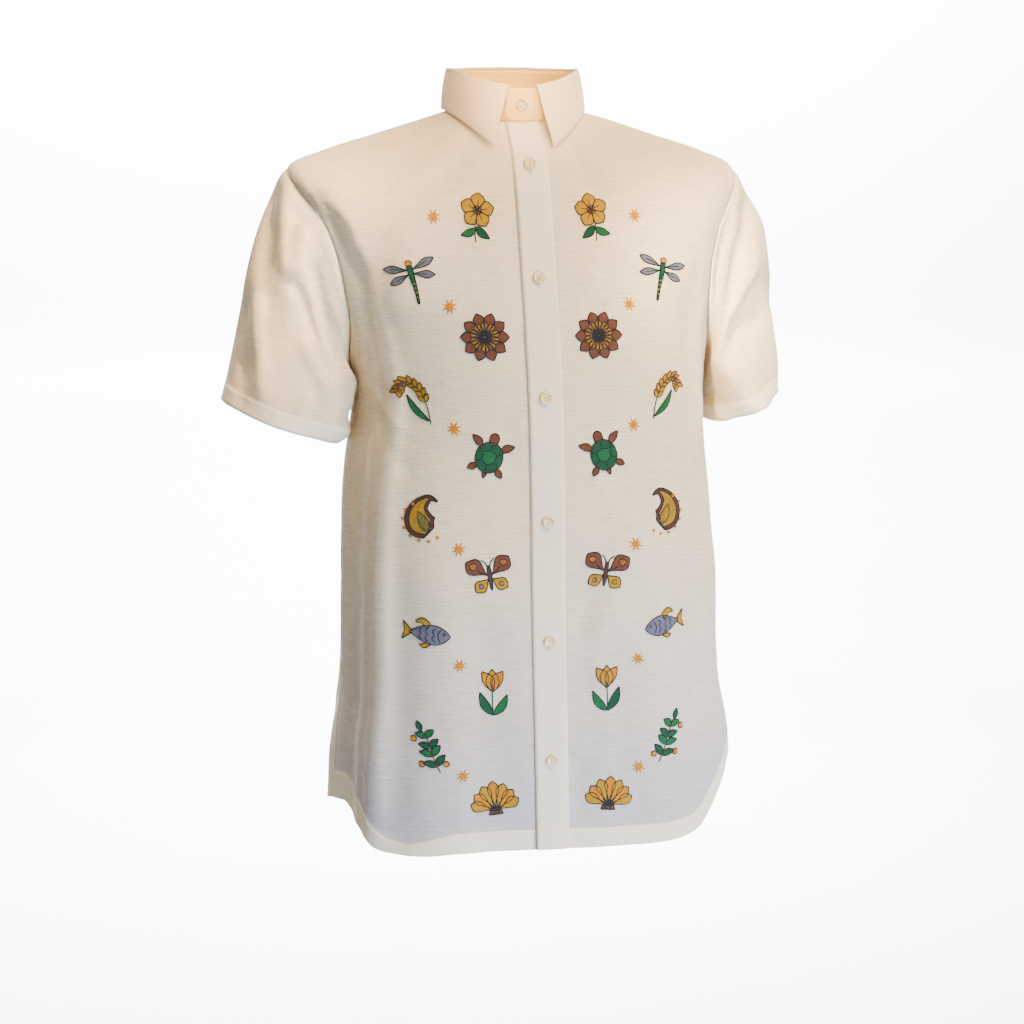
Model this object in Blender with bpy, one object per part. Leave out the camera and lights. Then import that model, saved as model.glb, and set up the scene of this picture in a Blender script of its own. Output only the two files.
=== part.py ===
"""Short-sleeved barong tagalog shirt, buttoned to the neck, in the hollow form it has when worn.

Frame: metres, +Z up. The front faces -Y and the wearer's left is +X. The origin is the middle of
the neck opening, level with the neck seam at the sides of the neck.

The body's cloth is one surface. A place on it is an angle and a ring. Angles are degrees around
the body: 0 in the middle of the front, 90 at the wearer's left side, 180 in the middle of the
back. Rings are the rows of RINGS, from 0 at the neck seam down to the hem. Every piece of the
body is a stretch of this surface with a wall, and the collar, placket and buttons are set off it.
"""
import math

import bpy
import numpy as np

MM = 0.001

WALL = 1.2 * MM              # cloth of the body, yoke, sleeves and placket
COLLAR_WALL = 1.6 * MM       # collar stand and leaf, each two layers of cloth
SEAM = 0.3 * MM              # clearance between neighbouring pieces
HEM_RISE = 0.4 * MM          # how far a turned-up hem stands proud
HEM_STEP = 0.3 * MM          # length of the step up to a sleeve's hem

# Outlines of the body's cloth, in millimetres: the heights of the middle of the front, of the
# sides and of the middle of the back, the middle in x, the reach to the wearer's right and left,
# to the front and back, and how square the outline is (2 is an ellipse).
RING_COLUMNS = ("z_front", "z_side", "z_back", "middle", "right", "left", "front", "back", "square")
RINGS = np.array((
    (-14.5, -3, 3, 0, 62, 62, 62, 59, 2.0),
    (-41, -12, -12, 3.5, 94, 90, 78, 76, 2.05),
    (-69, -24, -34, 5, 135, 127, 90, 90, 2.1),
    (-97, -39, -58, 6, 184, 174, 100, 100, 2.15),
    (-125, -56, -82, 6.5, 219, 206, 109, 108, 2.2),
    (-152, -92, -112, 7, 209, 203, 118, 117, 2.3),
    (-182, -141, -158, 8, 194, 190, 125, 123, 2.4),
    (-214, -193, -203, 9, 179, 181, 129, 126, 2.45),
    (-245, -245, -245, 10.5, 168.5, 175, 131.5, 126, 2.45),
    (-275, -275, -275, 11.5, 167.5, 173.5, 132.5, 125, 2.45),
    (-312, -312, -312, 12.5, 174, 175, 133, 122, 2.5),
    (-360, -360, -360, 13.5, 181.5, 179, 133, 119, 2.6),
    (-440, -440, -440, 14.5, 185.5, 185.5, 132, 117, 2.75),
    (-533, -533, -533, 16.5, 188.5, 185.5, 132, 119, 2.85),
    (-605, -605, -605, 18, 196, 195, 133, 123, 2.9),
    (-692, -692, -692, 19.5, 202, 193, 135, 127, 2.9),
))
ARMPIT_RING = 8
VENT_RING = 13
HEM_RING = 15

# Soft folds hung in the body's cloth: the angle and height (mm) where each starts and ends, its
# half width and how far it stands out (mm; a trough is negative).
FOLDS = (
    (-52, -150, -50, -760, 17, 5.5),
    (-66, -225, -64, -760, 24, -8),
    (-31, -330, -29, -780, 26, 3.5),
    (-18, -430, -15, -780, 20, -2.5),
    (-88, -560, -88, -900, 22, 7),
    (88, -560, 88, -900, 22, 4),
    (27, -300, 30, -780, 24, 3.5),
    (41, -380, 44, -780, 22, -3.5),
    (55, -190, 57, -760, 22, 4.5),
    (69, -225, 71, -640, 22, -6),
    (22, -60, 40, -210, 16, 2.5),
    (-24, -60, -42, -200, 16, 2.5),
    (102, -260, 99, -780, 20, -4.5),
    (118, -240, 115, -780, 22, 5),
    (137, -200, 134, -780, 24, -5),
    (152, -150, 151, -780, 20, 4.5),
    (168, -230, 170, -780, 22, -3.5),
    (189, -210, 192, -780, 22, 4),
    (205, -160, 207, -780, 20, 4.5),
    (222, -190, 224, -780, 24, -5),
    (241, -230, 243, -780, 22, 5),
    (259, -260, 262, -780, 20, -5),
)
FOLD_FADE = 0.22             # share of a fold's length over which each end dies away
MM_PER_DEGREE = 2.9          # of the body's girth

# Armhole of the wearer's left side, from the shoulder point down to the armpit: ring and angle.
ARMHOLE_FRONT = np.array((
    (4.0, 90), (4.12, 82), (4.32, 74), (4.6, 66.5), (4.95, 61), (5.4, 59), (5.95, 59.5),
    (6.5, 61.5), (6.98, 65), (7.35, 70), (7.65, 76), (7.86, 83), (8.0, 90),
))
ARMHOLE_BACK = np.array((
    (4.0, 90), (4.1, 98), (4.32, 106), (4.68, 113), (5.1, 117.5), (5.6, 119.5), (6.2, 118.5),
    (6.75, 115), (7.2, 110.5), (7.58, 104), (7.84, 97), (8.0, 90),
))
SHOULDER_SEAM_ROW = 2        # row of ARMHOLE_FRONT where the yoke's front seam ends
YOKE_SEAM_ROW = 4            # row of ARMHOLE_BACK where the yoke's back seam ends
SHOULDER_SEAM_ANGLE = 78     # of the yoke's front seam at the neck
YOKE_BACK_ANGLE = 122        # at the neck, of the column that ends where the back seam starts
YOKE_BACK_RING = 4.68        # the yoke's back seam in the middle of the back

BODY_RINGS = (15, 14.752, 14.74, 14.35, 14, 13.5, 13, 12.5, 12, 11.5, 11, 10.5, 10, 9.5, 9, 8.5)
HEM_BAND_ROWS = 2            # rows of BODY_RINGS that lie in the bottom hem
SEAM_ROWS = 5                # from the yoke's edge up to the neck
FRONT_COLUMNS = 13           # from the placket to the side
BACK_COLUMNS = 12            # from the side to the middle of the back
VENT_OPEN = 1.3              # degrees that each side of a vent stands back at the hem
# How far the hem hangs below its ring (mm; above it is negative), by angle: round vent corners,
# and a droop in the wearer's right front.
HEM_LINE = np.array((
    (-90, -20), (-80, -28), (-70, -33), (-64, -28), (-55, -17), (-51, -7), (-48, 3), (-44, 12), (-38, 17),
    (-33, 10), (-26, 1), (0, 0), (20, 2), (42, 4), (46, -4), (50, -21), (54, -43), (58, -62), (63, -72),
    (72, -74), (80, -69), (90, -58), (97, -34), (105, -14), (116, 0), (180, 3), (230, -2), (242, -14),
    (254, -24), (262, -24), (270, -20),
))
HEM_SHARES = (0.03, 0.12, 0.38, 0.65, 0.97, 0.97, 1)   # of that in the lowest rows

PLACKET_WIDTH = 31.5 * MM
LAP_SHARES = (-0.5, -0.25, 0, 0.25, 0.5)
UNDER_LAP = -WALL - SEAM     # the right front passes this far under the left
LAP_EASES = (1 / 3, 1 / 6)   # of that in the next columns, until the right front is level again

# Sleeve hems in millimetres: middle, half width outward, half depth forward; then degrees that
# the hem's plane tilts up outward, and that its forward axis turns outward.
CUFF_COLUMNS = ("x", "y", "z", "out", "forward", "tilt", "turn")
CUFFS = {
    "right": (-224.5, -13, -290.5, 60.5, 67, 21, 0),
    "left": (230, 6, -285, 40.5, 73, 23, -6),
}
SLEEVE_HEM = 17 * MM
SLEEVE_ROWS = 9
SLEEVE_PULL = 0.9            # how far a sleeve follows its directions at its two ends
SLEEVE_FADE = 0.15           # share of its length over which its folds begin
OPEN_VALLEY = 0.3            # from here up, the angle at an armhole seam leaves the sleeve its own way
CAP_LEAN = 0.4               # how far the sleeve cap first leans outward from the sleeve's axis
# Folds of the sleeves: place around (0 outer, 90 front, 180 inner, 270 back) and share of the
# length where each starts and ends, half width in degrees, height in mm.
SLEEVE_FOLDS = {
    "right": (
        (150, 0.25, 60, 1.2, 16, 4),
        (150, 0.14, 145, 1.05, 22, 12),
        (120, 0.1, 25, 0.95, 13, -3),
        (170, 0.5, 105, 1.2, 14, -4),
        (70, -0.1, 45, 0.5, 14, 2.5),
        (250, 0.2, 300, 1.2, 16, 4),
        (225, 0.3, 262, 1.2, 14, -4),
        (320, 0.1, 335, 0.9, 16, 2.5),
    ),
    "left": (
        (140, 0.2, 60, 1.2, 14, 5),
        (0, 0.1, 0, 1, 40, 7),
        (112, 0.1, 28, 1.2, 12, -4),
        (160, 0.5, 92, 1.2, 12, -5),
        (60, -0.1, 30, 0.5, 14, 2.5),
        (240, 0.2, 300, 1.2, 16, 4),
        (215, 0.3, 262, 1.2, 14, -4),
        (320, 0.1, 335, 0.9, 16, 2.5),
    ),
}

# Collar, in millimetres: half widths of the top of the stand and its heights.
STAND_TOP_SIDE = 60.5
STAND_TOP_FRONT = 63
STAND_TOP_BACK = 58
STAND_TOP_Z = (16, 33, 36)   # middle of the front, sides, middle of the back
STAND_CORNER = 5 * MM        # rise of the stand's round end above the neck seam
CORNER_EASE = 0.06           # share of that at the next point
STAND_LAP = -COLLAR_WALL - SEAM
LAP_START = 310              # angle where the stand's right end begins to pass under its left
LAP_RUN = 22                 # degrees over which it does
LEAF_START = 12.6 * MM       # half the gap between the leaf's ends at the top
ROLL_MIDDLE = 0.5 * MM       # the roll's middle, outward from the stand
ROLL_RISE = 1.2 * MM         # and above it
ROLL_STEPS = 4
LEAF_ROWS = 5
LEAF_FIRST = 2               # degrees from the leaf's end to its first full column
LEAF_SPREAD = 0.8            # how soon the leaf's columns leave its points (1 is evenly)
POINT_EASE = 6               # how soon the points' own angles die away
# Outer edge of the leaf: angle on the body, ring, and clearance above the body in millimetres.
# The points at its two ends spread a little less on the wearer's left.
POINT_ANGLES = {"right": 19.5, "left": 14.5}
LEAF_EDGE = np.array((
    (19.5, 0.98, 3.2), (27, 0.8, 2.8), (38, 0.6, 2), (52, 0.42, 1.4), (70, 0.3, 1.2),
    (90, 0.24, 1.2), (112, 0.24, 1.2), (135, 0.26, 1.2), (158, 0.29, 1.2), (180, 0.3, 1.2),
))

BUTTON_RADIUS = 5.7 * MM
BUTTON_HEIGHT = 2.2 * MM
BUTTON_SIDES = 16
# Profile of a button: radius and height as shares of its own.
BUTTON_PROFILE = ((0.72, 0), (1, 0.32), (1, 0.66), (0.88, 1), (0.62, 0.93), (0.5, 0.7))
BUTTON_HEIGHTS = (-52, -151, -258, -373, -487, -603.5)
STAND_BUTTON_Z = 1 * MM
BUTTON_GAP = 0.35 * MM       # between a button's back and the cloth

SLOPE_STEP = 0.01            # step, in degrees or rings, over which a slope is measured
SEARCH_STEPS = 8             # in finding the ring at a height

CLOTH = ((0.86, 0.80, 0.68), 0.8)
CRISP_CLOTH = ((0.88, 0.82, 0.69), 0.7)
PEARL = ((0.90, 0.85, 0.72), 0.25)


# ---- curves and surfaces -------------------------------------------------------------------


def along(table, place):
    """Row of a table at a fractional row number, on a smooth curve through its rows."""
    place = np.asarray(place, float)
    last = len(table) - 1
    low = np.clip(np.floor(place).astype(int), 0, last - 1)
    part = (place - low)[..., None]
    before, here = table[np.maximum(low - 1, 0)], table[low]
    there, after = table[low + 1], table[np.minimum(low + 2, last)]
    pull_here, pull_there = (there - before) / 2, (after - here) / 2
    square, cube = part ** 2, part ** 3
    return (here * (2 * cube - 3 * square + 1) + pull_here * (cube - 2 * square + part)
            + there * (3 * square - 2 * cube) + pull_there * (cube - square))


def ring_sizes(ring):
    """The named sizes of the body's outline at a ring."""
    return dict(zip(RING_COLUMNS, np.moveaxis(along(RINGS, ring), -1, 0)))


def smooth(share):
    """0 to 1, with a soft start and end."""
    share = np.clip(share, 0, 1)
    return share * share * (3 - 2 * share)


def unit(vectors):
    """Vectors at length 1."""
    return vectors / np.linalg.norm(vectors, axis=-1, keepdims=True)


def form(angle, ring):
    """Point of the body's outline before any fold."""
    size = ring_sizes(ring)
    cos, sin = np.cos(np.radians(angle)), np.sin(np.radians(angle))
    reach = (np.abs(cos) ** size["square"] + np.abs(sin) ** size["square"]) ** (-1 / size["square"])
    x = size["middle"] + np.where(sin > 0, size["left"], size["right"]) * sin * reach
    y = -np.where(cos > 0, size["front"], size["back"]) * cos * reach
    z_end = np.where(cos > 0, size["z_front"], size["z_back"])
    z = size["z_side"] + (z_end - size["z_side"]) * cos ** 2
    return np.stack((x, y, z), -1) * MM


def fold_height(angle, z):
    """How far the folds lift the body's cloth at an angle and height (mm)."""
    total = np.zeros(np.broadcast(angle, z).shape)
    for angle_top, z_top, angle_low, z_low, width, height in FOLDS:
        run = (z_top - z) / (z_top - z_low)
        centre = angle_top + (angle_low - angle_top) * np.clip(run, 0, 1)
        away = ((angle - centre + 180) % 360 - 180) * MM_PER_DEGREE
        ends = smooth(run / FOLD_FADE) * smooth((1 - run) / FOLD_FADE)
        total += height * np.exp(-(away / width) ** 2) * ends
    return total * MM


def normal_of(surface, angle, ring):
    """Outward direction of a surface."""
    across = surface(angle + SLOPE_STEP, ring) - surface(angle - SLOPE_STEP, ring)
    down = surface(angle, ring + SLOPE_STEP) - surface(angle, ring - SLOPE_STEP)
    return unit(np.cross(down, across))


def body(angle, ring):
    """Point of the body's cloth, folds and all."""
    flat = form(angle, ring)
    height = fold_height(angle, flat[..., 2] / MM)
    return flat + normal_of(form, angle, ring) * height[..., None]


def body_normal(angle, ring):
    """Outward direction of the body's cloth."""
    return normal_of(body, angle, ring)


def angle_at(x, ring):
    """Angle on the front where the outline is this far from its middle."""
    size = ring_sizes(ring)
    share = x / MM / np.where(np.asarray(x) > 0, size["left"], size["right"])
    depth = (1 - np.abs(share) ** size["square"]) ** (1 / size["square"])
    return np.degrees(np.arctan2(share, depth))


# ---- meshes --------------------------------------------------------------------------------


def add_material(node, look):
    """Give a node its own material."""
    colour, roughness = look
    material = bpy.data.materials.new(node.name)
    material.use_nodes = True
    shader = material.node_tree.nodes["Principled BSDF"]
    shader.inputs["Base Color"].default_value = (*colour, 1)
    shader.inputs["Roughness"].default_value = roughness
    node.data.materials.append(material)


def add_node(name, points, faces, look):
    """Make a named object from points and faces that face outward."""
    mesh = bpy.data.meshes.new(name)
    mesh.from_pydata([tuple(point) for point in points], [], faces)
    mesh.shade_smooth()
    node = bpy.data.objects.new(name, mesh)
    bpy.context.scene.collection.objects.link(node)
    add_material(node, look)
    return node


def cell_triangles(points, corners):
    """Split one cell along its shorter diagonal."""
    a, b, c, d = corners
    if np.linalg.norm(points[a] - points[c]) <= np.linalg.norm(points[b] - points[d]):
        return [(a, b, c), (a, c, d)]
    return [(b, c, d), (b, d, a)]


def add_wall(name, outer, inner, look, tube=False):
    """Make a wall from its outer and inner grids of points, with rims round their edges.

    Rows run down the piece. Columns run towards the wearer's left across the front, or close on
    themselves in a tube.
    """
    rows, columns = outer.shape[:2]
    points = np.concatenate((outer.reshape(-1, 3), inner.reshape(-1, 3)))
    inside = rows * columns
    steps = columns if tube else columns - 1

    def at(row, column):
        return row * columns + column % columns

    faces = []
    for row in range(rows - 1):
        for column in range(steps):
            corners = (at(row, column), at(row + 1, column), at(row + 1, column + 1), at(row, column + 1))
            for face in cell_triangles(points, corners):
                faces.append(face)
                faces.append(tuple(corner + inside for corner in reversed(face)))
    for column in range(steps):
        top, top_next = at(0, column), at(0, column + 1)
        low, low_next = at(rows - 1, column), at(rows - 1, column + 1)
        faces.append((top, top_next, top_next + inside, top + inside))
        faces.append((low_next, low, low + inside, low_next + inside))
    if not tube:
        for row in range(rows - 1):
            first, first_next = at(row, 0), at(row + 1, 0)
            last, last_next = at(row, columns - 1), at(row + 1, columns - 1)
            faces.append((first_next, first, first + inside, first_next + inside))
            faces.append((last, last_next, last_next + inside, last + inside))
    return add_node(name, points, faces, look)


EDGES = {
    "top": (np.s_[0, :], np.s_[1, :]),
    "low": (np.s_[-1, :], np.s_[-2, :]),
    "first": (np.s_[:, 0], np.s_[:, 1]),
    "last": (np.s_[:, -1], np.s_[:, -2]),
}


def draw_back(outer, inner, *edges):
    """Draw edges of a wall back by half the seam clearance."""
    moves = []
    for edge in edges:
        line, neighbour = EDGES[edge]
        run = unit(np.gradient(outer[line], axis=0))
        inward = outer[neighbour] - outer[line]
        inward -= np.sum(inward * run, -1, keepdims=True) * run
        moves.append((line, unit(inward) * SEAM / 2))
    for line, move in moves:
        outer[line] += move
        inner[line] += move


def cloth(angles, rings, lift=0, wall=WALL):
    """Outer and inner grids of a stretch of the body's cloth, lifted off it."""
    points, normals = body(angles, rings), body_normal(angles, rings)
    lift = np.broadcast_to(lift, angles.shape)[..., None]
    return points + normals * lift, points + normals * (lift - wall)


# ---- body ----------------------------------------------------------------------------------


def vent_angle(ring):
    """Degrees that a side edge stands back from the side line."""
    return VENT_OPEN * np.clip((ring - VENT_RING) / (HEM_RING - VENT_RING), 0, 1)


def front_rows():
    """Ring and side angle of each row of a front, from the neck down to the hem."""
    seam_ring, seam_angle = ARMHOLE_FRONT[SHOULDER_SEAM_ROW]
    shares = np.arange(SEAM_ROWS) / SEAM_ROWS
    seam = [(seam_ring * share, SHOULDER_SEAM_ANGLE + (seam_angle - SHOULDER_SEAM_ANGLE) * share)
            for share in shares]
    armhole = [tuple(row) for row in ARMHOLE_FRONT[SHOULDER_SEAM_ROW:]]
    side = [(ring, 90 - vent_angle(ring)) for ring in reversed(BODY_RINGS)]
    return np.array(seam + armhole + side)


def hang_hem(angles, rings):
    """Shape the lowest rows of a panel to the hem line."""
    drop = np.interp(angles[-1], HEM_LINE[:, 0], HEM_LINE[:, 1])
    ring_height = RINGS[HEM_RING - 1][1] - RINGS[HEM_RING][1]
    rings[-len(HEM_SHARES):] += np.array(HEM_SHARES)[:, None] * drop / ring_height


def hem_lift(rows, columns):
    """Lift of a panel's outer points: a turned-up hem along the bottom."""
    lift = np.zeros((rows, columns))
    lift[-HEM_BAND_ROWS:] = HEM_RISE
    return lift


def fan_rings(table, top, shares):
    """Rings of rows that follow the armhole at its edge and are evenly spaced away from it."""
    edge = table[:, 0]
    even = edge.copy()
    even[top:armpit_row(table) + 1] = np.linspace(edge[top], ARMPIT_RING, armpit_row(table) + 1 - top)
    return even[:, None] + (edge - even)[:, None] * shares ** 2


def armpit_row(table):
    """Row of a panel that ends at the armpit."""
    return int(np.argmin(np.abs(table[:, 0] - ARMPIT_RING)))


def front_grid(side):
    """Angles and rings of a front, from the far edge of its lap to its side (1 left, -1 right)."""
    table = front_rows()
    shares = np.concatenate((np.zeros(len(LAP_SHARES)), np.arange(1, FRONT_COLUMNS + 1) / FRONT_COLUMNS))
    rings = fan_rings(table, SEAM_ROWS, shares)
    lap_x = side * PLACKET_WIDTH * np.array(LAP_SHARES)
    lap = angle_at(lap_x, rings[:, :len(LAP_SHARES)])
    rest = lap[:, -1:] + (side * table[:, 1:] - lap[:, -1:]) * shares[len(LAP_SHARES):]
    angles = np.concatenate((lap, rest), axis=1)
    hang_hem(angles, rings)
    return angles, rings


def make_front_left():
    """The front that lies on top, with its edge under the placket."""
    angles, rings = front_grid(1)
    outer, inner = cloth(angles, rings, hem_lift(*angles.shape))
    draw_back(outer, inner, "top", "last")
    add_wall("front_left", outer, inner, CLOTH)


def make_front_right():
    """The front that passes under the left one at the middle."""
    angles, rings = front_grid(-1)
    lap = np.zeros(angles.shape[1])
    lap[:len(LAP_SHARES)] = UNDER_LAP
    for column, ease in enumerate(LAP_EASES, len(LAP_SHARES)):
        lap[column] = UNDER_LAP * ease
    lift = hem_lift(*angles.shape)
    lift[:, :len(LAP_SHARES)] = 0
    outer, inner = cloth(angles, rings, lift + lap)
    draw_back(outer, inner, "top", "last")
    add_wall("front_right", outer[:, ::-1], inner[:, ::-1], CLOTH)


def make_placket():
    """The strip sewn on the left front's edge, from the neck seam to the hem."""
    angles, rings = front_grid(1)
    columns = len(LAP_SHARES)
    angles, rings = angles[:, :columns], rings[:, :columns]
    lift = hem_lift(*angles.shape) + SEAM + WALL
    outer, inner = cloth(angles, rings, lift)
    draw_back(outer, inner, "top")
    add_wall("placket", outer, inner, CLOTH)


def back_seam_ring(angle):
    """Ring of the yoke's back seam at an angle on the back."""
    corner_ring, corner_angle = ARMHOLE_BACK[YOKE_SEAM_ROW]
    share = smooth((180 - np.abs(angle - 180) - corner_angle) / (180 - corner_angle))
    return corner_ring + (YOKE_BACK_RING - corner_ring) * share


def make_back():
    """The plain back, from the yoke seam to the hem."""
    armhole = ARMHOLE_BACK[YOKE_SEAM_ROW:]
    side = np.array([(ring, 90 + vent_angle(ring)) for ring in reversed(BODY_RINGS)])
    table = np.concatenate((armhole, side))
    shares = np.linspace(0, 1, BACK_COLUMNS + 1)
    half = table[:, 1:] + (180 - table[:, 1:]) * shares
    angles = np.concatenate((half, 360 - half[:, -2::-1]), axis=1)
    spread = np.abs(np.linspace(1, -1, angles.shape[1]))
    rings = fan_rings(table, 0, spread)
    fade = np.clip((ARMPIT_RING - rings) / (ARMPIT_RING - armhole[0, 0]), 0, 1)
    rings += (back_seam_ring(angles[:1]) - armhole[0, 0]) * fade
    hang_hem(angles, rings)
    outer, inner = cloth(angles, rings, hem_lift(*angles.shape))
    draw_back(outer, inner, "top", "first", "last")
    add_wall("back", outer, inner, CLOTH)


def yoke_edges():
    """Neck angle, outer angle and outer ring of the yoke's columns, wearer's left to right."""
    over = np.concatenate((ARMHOLE_FRONT[SHOULDER_SEAM_ROW:0:-1], ARMHOLE_BACK[:YOKE_SEAM_ROW]))
    seam_angles = np.linspace(ARMHOLE_BACK[YOKE_SEAM_ROW][1], 180, BACK_COLUMNS + 1)
    neck = np.concatenate((
        np.linspace(SHOULDER_SEAM_ANGLE, YOKE_BACK_ANGLE, len(over) + 1)[:-1],
        np.linspace(YOKE_BACK_ANGLE, 180, BACK_COLUMNS + 1),
    ))
    outer_angle = np.concatenate((over[:, 1], seam_angles))
    outer_ring = np.concatenate((over[:, 0], back_seam_ring(seam_angles)))
    return (np.concatenate((neck, 360 - neck[-2::-1])),
            np.concatenate((outer_angle, 360 - outer_angle[-2::-1])),
            np.concatenate((outer_ring, outer_ring[-2::-1])))


def make_yoke():
    """The yoke over both shoulders, from seams on the front to the back seam."""
    neck, outer_angle, outer_ring = yoke_edges()
    shares = np.arange(SEAM_ROWS + 1)[:, None] / SEAM_ROWS
    angles = neck + (outer_angle - neck) * shares
    rings = outer_ring * shares
    outer, inner = cloth(angles, rings)
    draw_back(outer, inner, "top", "low", "first", "last")
    add_wall("yoke", outer, inner, CLOTH)


# ---- sleeves -------------------------------------------------------------------------------


def armhole_loop(side):
    """Points, body normals and places around (degrees) of an armhole, from the shoulder forward."""
    loop = np.concatenate((ARMHOLE_FRONT, ARMHOLE_BACK[-2:0:-1]))
    angles, rings = side * loop[:, 1], loop[:, 0]
    points = body(angles, rings)
    lengths = np.linalg.norm(np.diff(points, axis=0, append=points[:1]), axis=1)
    travelled = np.concatenate(([0], np.cumsum(lengths)[:-1]))
    armpit = len(ARMHOLE_FRONT) - 1
    half = travelled[armpit]
    ahead = travelled / half
    behind = 1 + (travelled - half) / (lengths.sum() - half)
    return points, body_normal(angles, rings), 180 * np.where(travelled <= half, ahead, behind)


def cuff_frame(cuff, side):
    """Middle, outward, forward and downward directions of a sleeve's hem."""
    tilt, turn = math.radians(cuff["tilt"]), math.radians(cuff["turn"])
    level = np.array((side * math.cos(tilt), 0, math.sin(tilt)))
    ahead = np.array((0, -1, 0))
    down = np.array((side * math.sin(tilt), 0, -math.cos(tilt)))
    out = level * math.cos(turn) - ahead * math.sin(turn)
    forward = ahead * math.cos(turn) + level * math.sin(turn)
    middle = np.array((cuff["x"], cuff["y"], cuff["z"])) * MM
    return middle, out, forward, down


def sleeve_fold_height(place, share, folds):
    """How far the folds lift a sleeve's cloth."""
    total = np.zeros(np.broadcast(place, share).shape)
    for place_top, share_top, place_low, share_low, width, height in folds:
        run = (share - share_top) / (share_low - share_top)
        centre = place_top + (place_low - place_top) * np.clip(run, 0, 1)
        away = (place - centre + 180) % 360 - 180
        ends = smooth(run / FOLD_FADE) * smooth((1 - run) / FOLD_FADE)
        total += height * np.exp(-(away / width) ** 2) * ends
    return total * MM


def tube_normals(points):
    """Outward directions of a tube's grid (rows down, columns around)."""
    around = np.roll(points, -1, axis=1) - np.roll(points, 1, axis=1)
    down = np.gradient(points, axis=0)
    normals = unit(np.cross(down, around))
    outward = points - points.mean(axis=1, keepdims=True)
    return normals * np.sign(np.sum(normals * outward, -1).mean())


def make_sleeve(name, side):
    """A sleeve from its armhole to its hem (side: 1 left, -1 right)."""
    cuff = dict(zip(CUFF_COLUMNS, CUFFS[name]))
    start, start_normals, place = armhole_loop(side)
    middle, out, forward, down = cuff_frame(cuff, side)
    turn = np.radians(place)[:, None]
    end = middle + (out * np.cos(turn) * cuff["out"] + forward * np.sin(turn) * cuff["forward"]) * MM

    length = np.linalg.norm(end - start, axis=1)
    hem_share = (SLEEVE_HEM / length)[None]
    upper = np.linspace(0, 1, SLEEVE_ROWS + 1)[:, None] * (1 - hem_share)
    shares = np.concatenate((upper, upper[-1:] + HEM_STEP / length, np.ones((1, len(length)))))
    lean = (1 + np.cos(turn)) / 2 * CAP_LEAN
    leave = unit(down + np.array((side, 0, 0)) * lean) * length[:, None] * SLEEVE_PULL
    arrive = down * length[:, None] * SLEEVE_PULL
    part = shares[..., None]
    square, cube = part ** 2, part ** 3
    points = (start * (2 * cube - 3 * square + 1) + leave * (cube - 2 * square + part)
              + end * (3 * square - 2 * cube) + arrive * (cube - square))
    fade = smooth(shares / SLEEVE_FADE)
    height = sleeve_fold_height(place[None], shares, SLEEVE_FOLDS[name]) * fade
    points = points + tube_normals(points) * height[..., None]

    run = unit(np.roll(points[0], -1, axis=0) - np.roll(points[0], 1, axis=0))
    leaving = points[1] - points[0]
    leaving = unit(leaving - np.sum(leaving * run, -1, keepdims=True) * run)
    valley = np.sum(leaving * start_normals, -1, keepdims=True)
    points[0] += leaving * SEAM / 2 + start_normals * SEAM * np.clip(valley / OPEN_VALLEY, 0, 1)
    normals = tube_normals(points)
    open_side = smooth(valley / OPEN_VALLEY)
    normals[0] = unit(start_normals * (1 - open_side) + normals[0] * open_side)
    lift = np.zeros(shares.shape)
    lift[-2:] = HEM_RISE
    outer = points + normals * lift[..., None]
    inner = points + normals * (lift - WALL)[..., None]
    if side > 0:
        outer, inner = outer[:, ::-1], inner[:, ::-1]
    add_wall("sleeve_" + name, outer, inner, CLOTH, tube=True)


# ---- collar --------------------------------------------------------------------------------


def neck_angles():
    """Angles of the points along the whole neck seam, from the middle of the front leftward."""
    front = front_grid(1)[0][0]
    middle = LAP_SHARES.index(0)
    left = front[middle:-1]
    yoke = yoke_edges()[0]
    return np.concatenate((left, yoke, 360 - left[::-1]))


def stand_top(angle):
    """Outer edge of the top of the collar stand."""
    cos, sin = np.cos(np.radians(angle)), np.sin(np.radians(angle))
    front, side, back = STAND_TOP_Z
    z = side + (np.where(cos > 0, front, back) - side) * cos ** 2
    y = -np.where(cos > 0, STAND_TOP_FRONT, STAND_TOP_BACK) * cos
    return np.stack((STAND_TOP_SIDE * sin, y, z), -1) * MM


def radial(angle):
    """Level direction away from the neck."""
    return np.stack((np.sin(np.radians(angle)), -np.cos(np.radians(angle)), np.zeros_like(angle)), -1)


def make_stand():
    """The collar stand, whose left end laps over its right end at the front."""
    around = neck_angles()
    lap = angle_at(PLACKET_WIDTH * np.array(LAP_SHARES[3:]), np.zeros(2))
    angles = np.concatenate((-lap[::-1], around, 360 + lap))
    under = smooth((angles - LAP_START) / LAP_RUN)
    low = form(angles, np.zeros_like(angles)) + np.array((0, 0, SEAM))
    low[0, 2] += STAND_CORNER
    low[1, 2] += STAND_CORNER * CORNER_EASE
    top = stand_top(angles)
    shift = radial(angles) * (under * STAND_LAP)[:, None]
    outer = np.stack((top, (top + low) / 2, low)) + shift
    inner = outer - radial(angles) * COLLAR_WALL
    add_wall("collar_stand", outer, inner, CRISP_CLOTH)


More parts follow.
